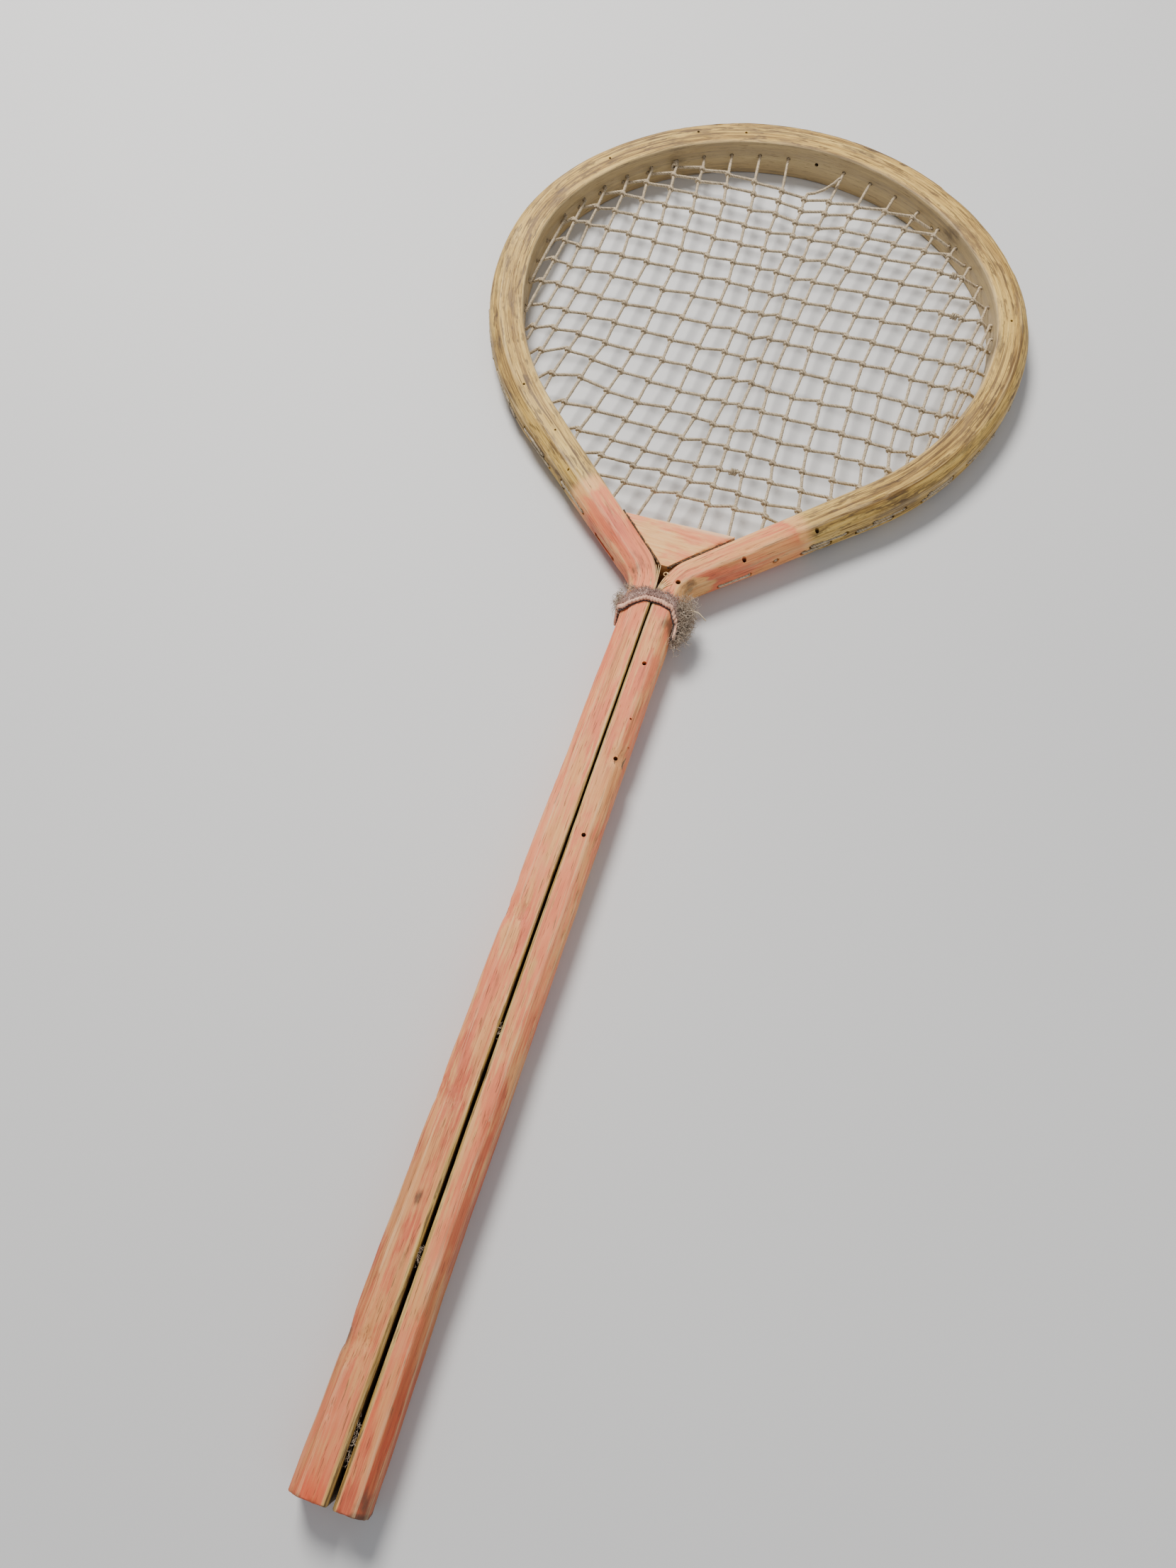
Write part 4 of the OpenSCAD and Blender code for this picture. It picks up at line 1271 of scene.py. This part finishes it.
def hairs(paths, radius, sides=3):
    """Fine fibres: thin tapered tubes along short paths."""
    verts, faces, grain = [], [], []
    for number, points in enumerate(paths):
        c = np.asarray(points, float)
        d = np.gradient(c, axis=0)
        d /= np.maximum(np.linalg.norm(d, axis=1), 1e-9)[:, None]
        u = np.cross(d, np.array([0.31, 0.52, 0.79]))
        u /= np.maximum(np.linalg.norm(u, axis=1), 1e-9)[:, None]
        v = np.cross(d, u)
        n = len(c)
        faces += tube_faces(n, sides, len(verts))
        for i in range(n):
            r = radius * (1 - 0.75 * (i / (n - 1)) ** 2)
            for a in range(sides):
                h = 2 * math.pi * a / sides
                verts.append(c[i] + r * (math.cos(h) * u[i] + math.sin(h) * v[i]))
                grain.append((c[i][0] + number * 0.37, c[i][1] + number * 0.11, c[i][2]))
    return verts, faces, grain


def hair_object(name, paths, radius, material, nodes, slot, sides=3):
    verts, faces, grain = hairs(paths, radius, sides)
    verts = np.array(verts)
    verts[:, 2] = np.clip(verts[:, 2], 0.02, None)
    obj = make_object(name, verts, faces, material, nodes, slot)
    put_grain(obj.data, grain)


def joint_path(side):
    """The line of old glue between the wedge and a leg, on the top face."""
    out = []
    for i in range(34):
        y = THROAT_Y + 1.6 + (WEDGE_H - 2.0) * i / 33
        x = SLIT_NECK / 2 + (y - THROAT_Y) * math.tan(LEG_ANGLE) - 0.5 * JOINT_GAP / math.cos(LEG_ANGLE)
        z = MID_Z + NECK_T / 2 - 0.75 + 0.25 * float(noise(i * 0.9, side, 71))
        out.append((side * (x + 0.12 * float(noise(i * 1.3, side, 72))), y, z))
    return out


twine_object(
    "throat_wedge_glue_line", [joint_path(-1), joint_path(1)], ["throat_wedge"], OLD_GLUE,
    radius=0.42, strands=2, pitch=1.7, sides=7, step=0.4, rough=0.22)

rng = np.random.default_rng(7)


def pile_paths(number):
    """Short pile all over the ribbon, brushed unevenly."""
    p, n, q = neck_outline(0.7, 400)
    lows, highs = ribbon_line(p, 0.7, False) + 0.8, ribbon_line(p, 0.7, True) + 0.2
    out = []
    for _ in range(number):
        k = int(rng.integers(0, 400))
        y = lows[k] + (highs[k] - lows[k]) * rng.random()
        root = np.array([p[k, 0], y, MID_Z + p[k, 1]])
        out_dir = np.array([n[k, 0], 0.0, n[k, 1]])
        lean = rng.normal(0, 0.55, 3)
        tall = 0.5 + 0.7 * rng.random()
        tip = root + tall * (out_dir + 0.6 * lean)
        out.append([root - 0.15 * out_dir, root + 0.55 * tall * (out_dir + 0.2 * lean), tip])
    return out


hair_object("throat_ribbon_pile", pile_paths(4200), 0.075, PILE, ["throat_binding"], "velvet")


def tangle(centre, spread, number, size, steps=9):
    """Loose curling fibres round a point."""
    out = []
    for _ in range(number):
        p = np.array(centre) + rng.normal(0, 1, 3) * np.array(spread)
        d = rng.normal(0, 1, 3)
        d /= np.linalg.norm(d)
        path = [p.copy()]
        for _ in range(steps - 1):
            d = d + rng.normal(0, 0.45, 3)
            d /= np.linalg.norm(d)
            p = p + d * size / steps
            path.append(p.copy())
        out.append(path)
    return out


def tangles(*rows):
    return [path for row in rows for path in tangle(*row)]


hair_object("frayed_ribbon_fluff", tangles(
    ((13.0, 299.0, MID_Z + 3.5), (1.3, 2.2, 1.7), 430, 5.2), ((13.6, 294.6, MID_Z + 2.0), (1.2, 2.8, 1.8), 460, 5.2),
    ((12.4, 289.6, MID_Z + 1.5), (0.8, 2.0, 1.3), 240, 4.2), ((9.8, 300.6, TOP_Z - 2.4), (1.6, 1.5, 0.7), 190, 3.4),
    ((-11.9, 297.6, MID_Z + 3.0), (0.6, 1.8, 1.4), 230, 3.4), ((-6.6, 302.3, TOP_Z - 1.9), (2.2, 0.7, 0.4), 130, 2.6),
    ((3.0, 303.5, TOP_Z - 1.5), (4.0, 0.6, 0.4), 150, 2.4),
), 0.10, FLUFF, ["throat_binding"], "velvet")

twine_object(
    "loose_thread", [[
        (13.5, 300.4, MID_Z + 4.5), (15.4, 300.2, MID_Z + 5.2), (17.3, 299.9, MID_Z + 5.6), (19.2, 299.0, MID_Z + 5.2),
        (20.9, 298.3, MID_Z + 4.2),
    ]], ["throat_binding"], PALE_THREAD, radius=0.24, pitch=1.4, step=0.25, rough=0.03)


# ---------------------------------------------------------------- splinters at the throat, fibres in the slit


def sliver(x0, x1, bend, y, rise, z, lift):
    return [
        (x0 + (x1 - x0) * v ** bend, y + rise * v, z + lift * math.sin(math.pi * v)) for v in np.linspace(0, 1, 9)
    ]


def strip_paths():
    """Slivers torn up on both sides of the slit's top, and the rim of a small hole between them."""
    top = MID_Z + NECK_T / 2
    out = []
    for i in range(7):
        lift = 0.05 + 0.35 * rng.random()
        out.append(sliver(-0.45 - 0.30 * i, -1.3 - 0.78 * i, 1.7, 303.6, 11.6 - 0.35 * i, top - 0.2, lift))
    for i in range(5):
        out.append(sliver(0.6 + 0.35 * i, 2.6 + 0.9 * i, 1.5, 304.6, 7.4 - 0.8 * i, top - 0.15, 0.2))
    out.append([
        (1.7 + 0.8 * math.cos(h), 311.4 + 0.8 * math.sin(h), top - 0.05) for h in np.linspace(0, 2 * math.pi, 15)
    ])
    return out


hair_object("throat_splinters", strip_paths(), 0.3, SPLINTER, ["throat_wedge"], "bare_wood", 5)
hair_object("slit_fibres", tangles(
    ((0.0, 16.0, TOP_Z - 2.2), (0.35, 3.0, 0.7), 60, 3.0), ((-0.1, 66.0, TOP_Z - 1.6), (0.3, 1.6, 0.5), 26, 2.4),
    ((-0.1, 134.0, TOP_Z - 1.5), (0.25, 1.2, 0.4), 18, 2.0),
), 0.07, FLUFF, ["stave"], "velvet")


# ---------------------------------------------------------------- floor, light and camera

bpy.ops.mesh.primitive_plane_add(size=24, location=(0, 0, 0))
floor = bpy.context.object
floor.name = "studio_floor"
floor.data.materials.append(floor_material())


def area_light(name, where, target, size, watts, colour=(1, 1, 1)):
    data = bpy.data.lights.new(name, "AREA")
    data.shape = "DISK"
    data.size = size
    data.energy = watts
    data.color = colour
    obj = bpy.data.objects.new(name, data)
    obj.location = where
    obj.rotation_euler = (Vector(target) - Vector(where)).to_track_quat("-Z", "Y").to_euler()
    bpy.context.scene.collection.objects.link(obj)


area_light("key", (-0.55, 0.75, 1.15), (0, 0.05, 0), 0.55, 30, (1, 0.975, 0.94))
area_light("fill", (0.9, -0.5, 1.2), (0, 0, 0), 1.4, 3, (0.96, 0.98, 1))
world = bpy.data.worlds.new("soft_room")
world.use_nodes = True
world.node_tree.nodes["Background"].inputs["Color"].default_value = (0.93, 0.95, 1, 1)
world.node_tree.nodes["Background"].inputs["Strength"].default_value = 0.33
bpy.context.scene.world = world

camera_data = bpy.data.cameras.new("camera")
camera_data.sensor_width = 36
camera_data.lens = 27.016
camera = bpy.data.objects.new("camera", camera_data)
camera.location = to_frame([(49.32, 72.44, TOP_Z + 366)])[0]
yaw, tilt = math.radians(18.029), math.radians(23.273)
camera.rotation_euler = (tilt, 0, yaw)
bpy.context.scene.collection.objects.link(camera)
bpy.context.scene.camera = camera

bpy.context.view_layer.update()
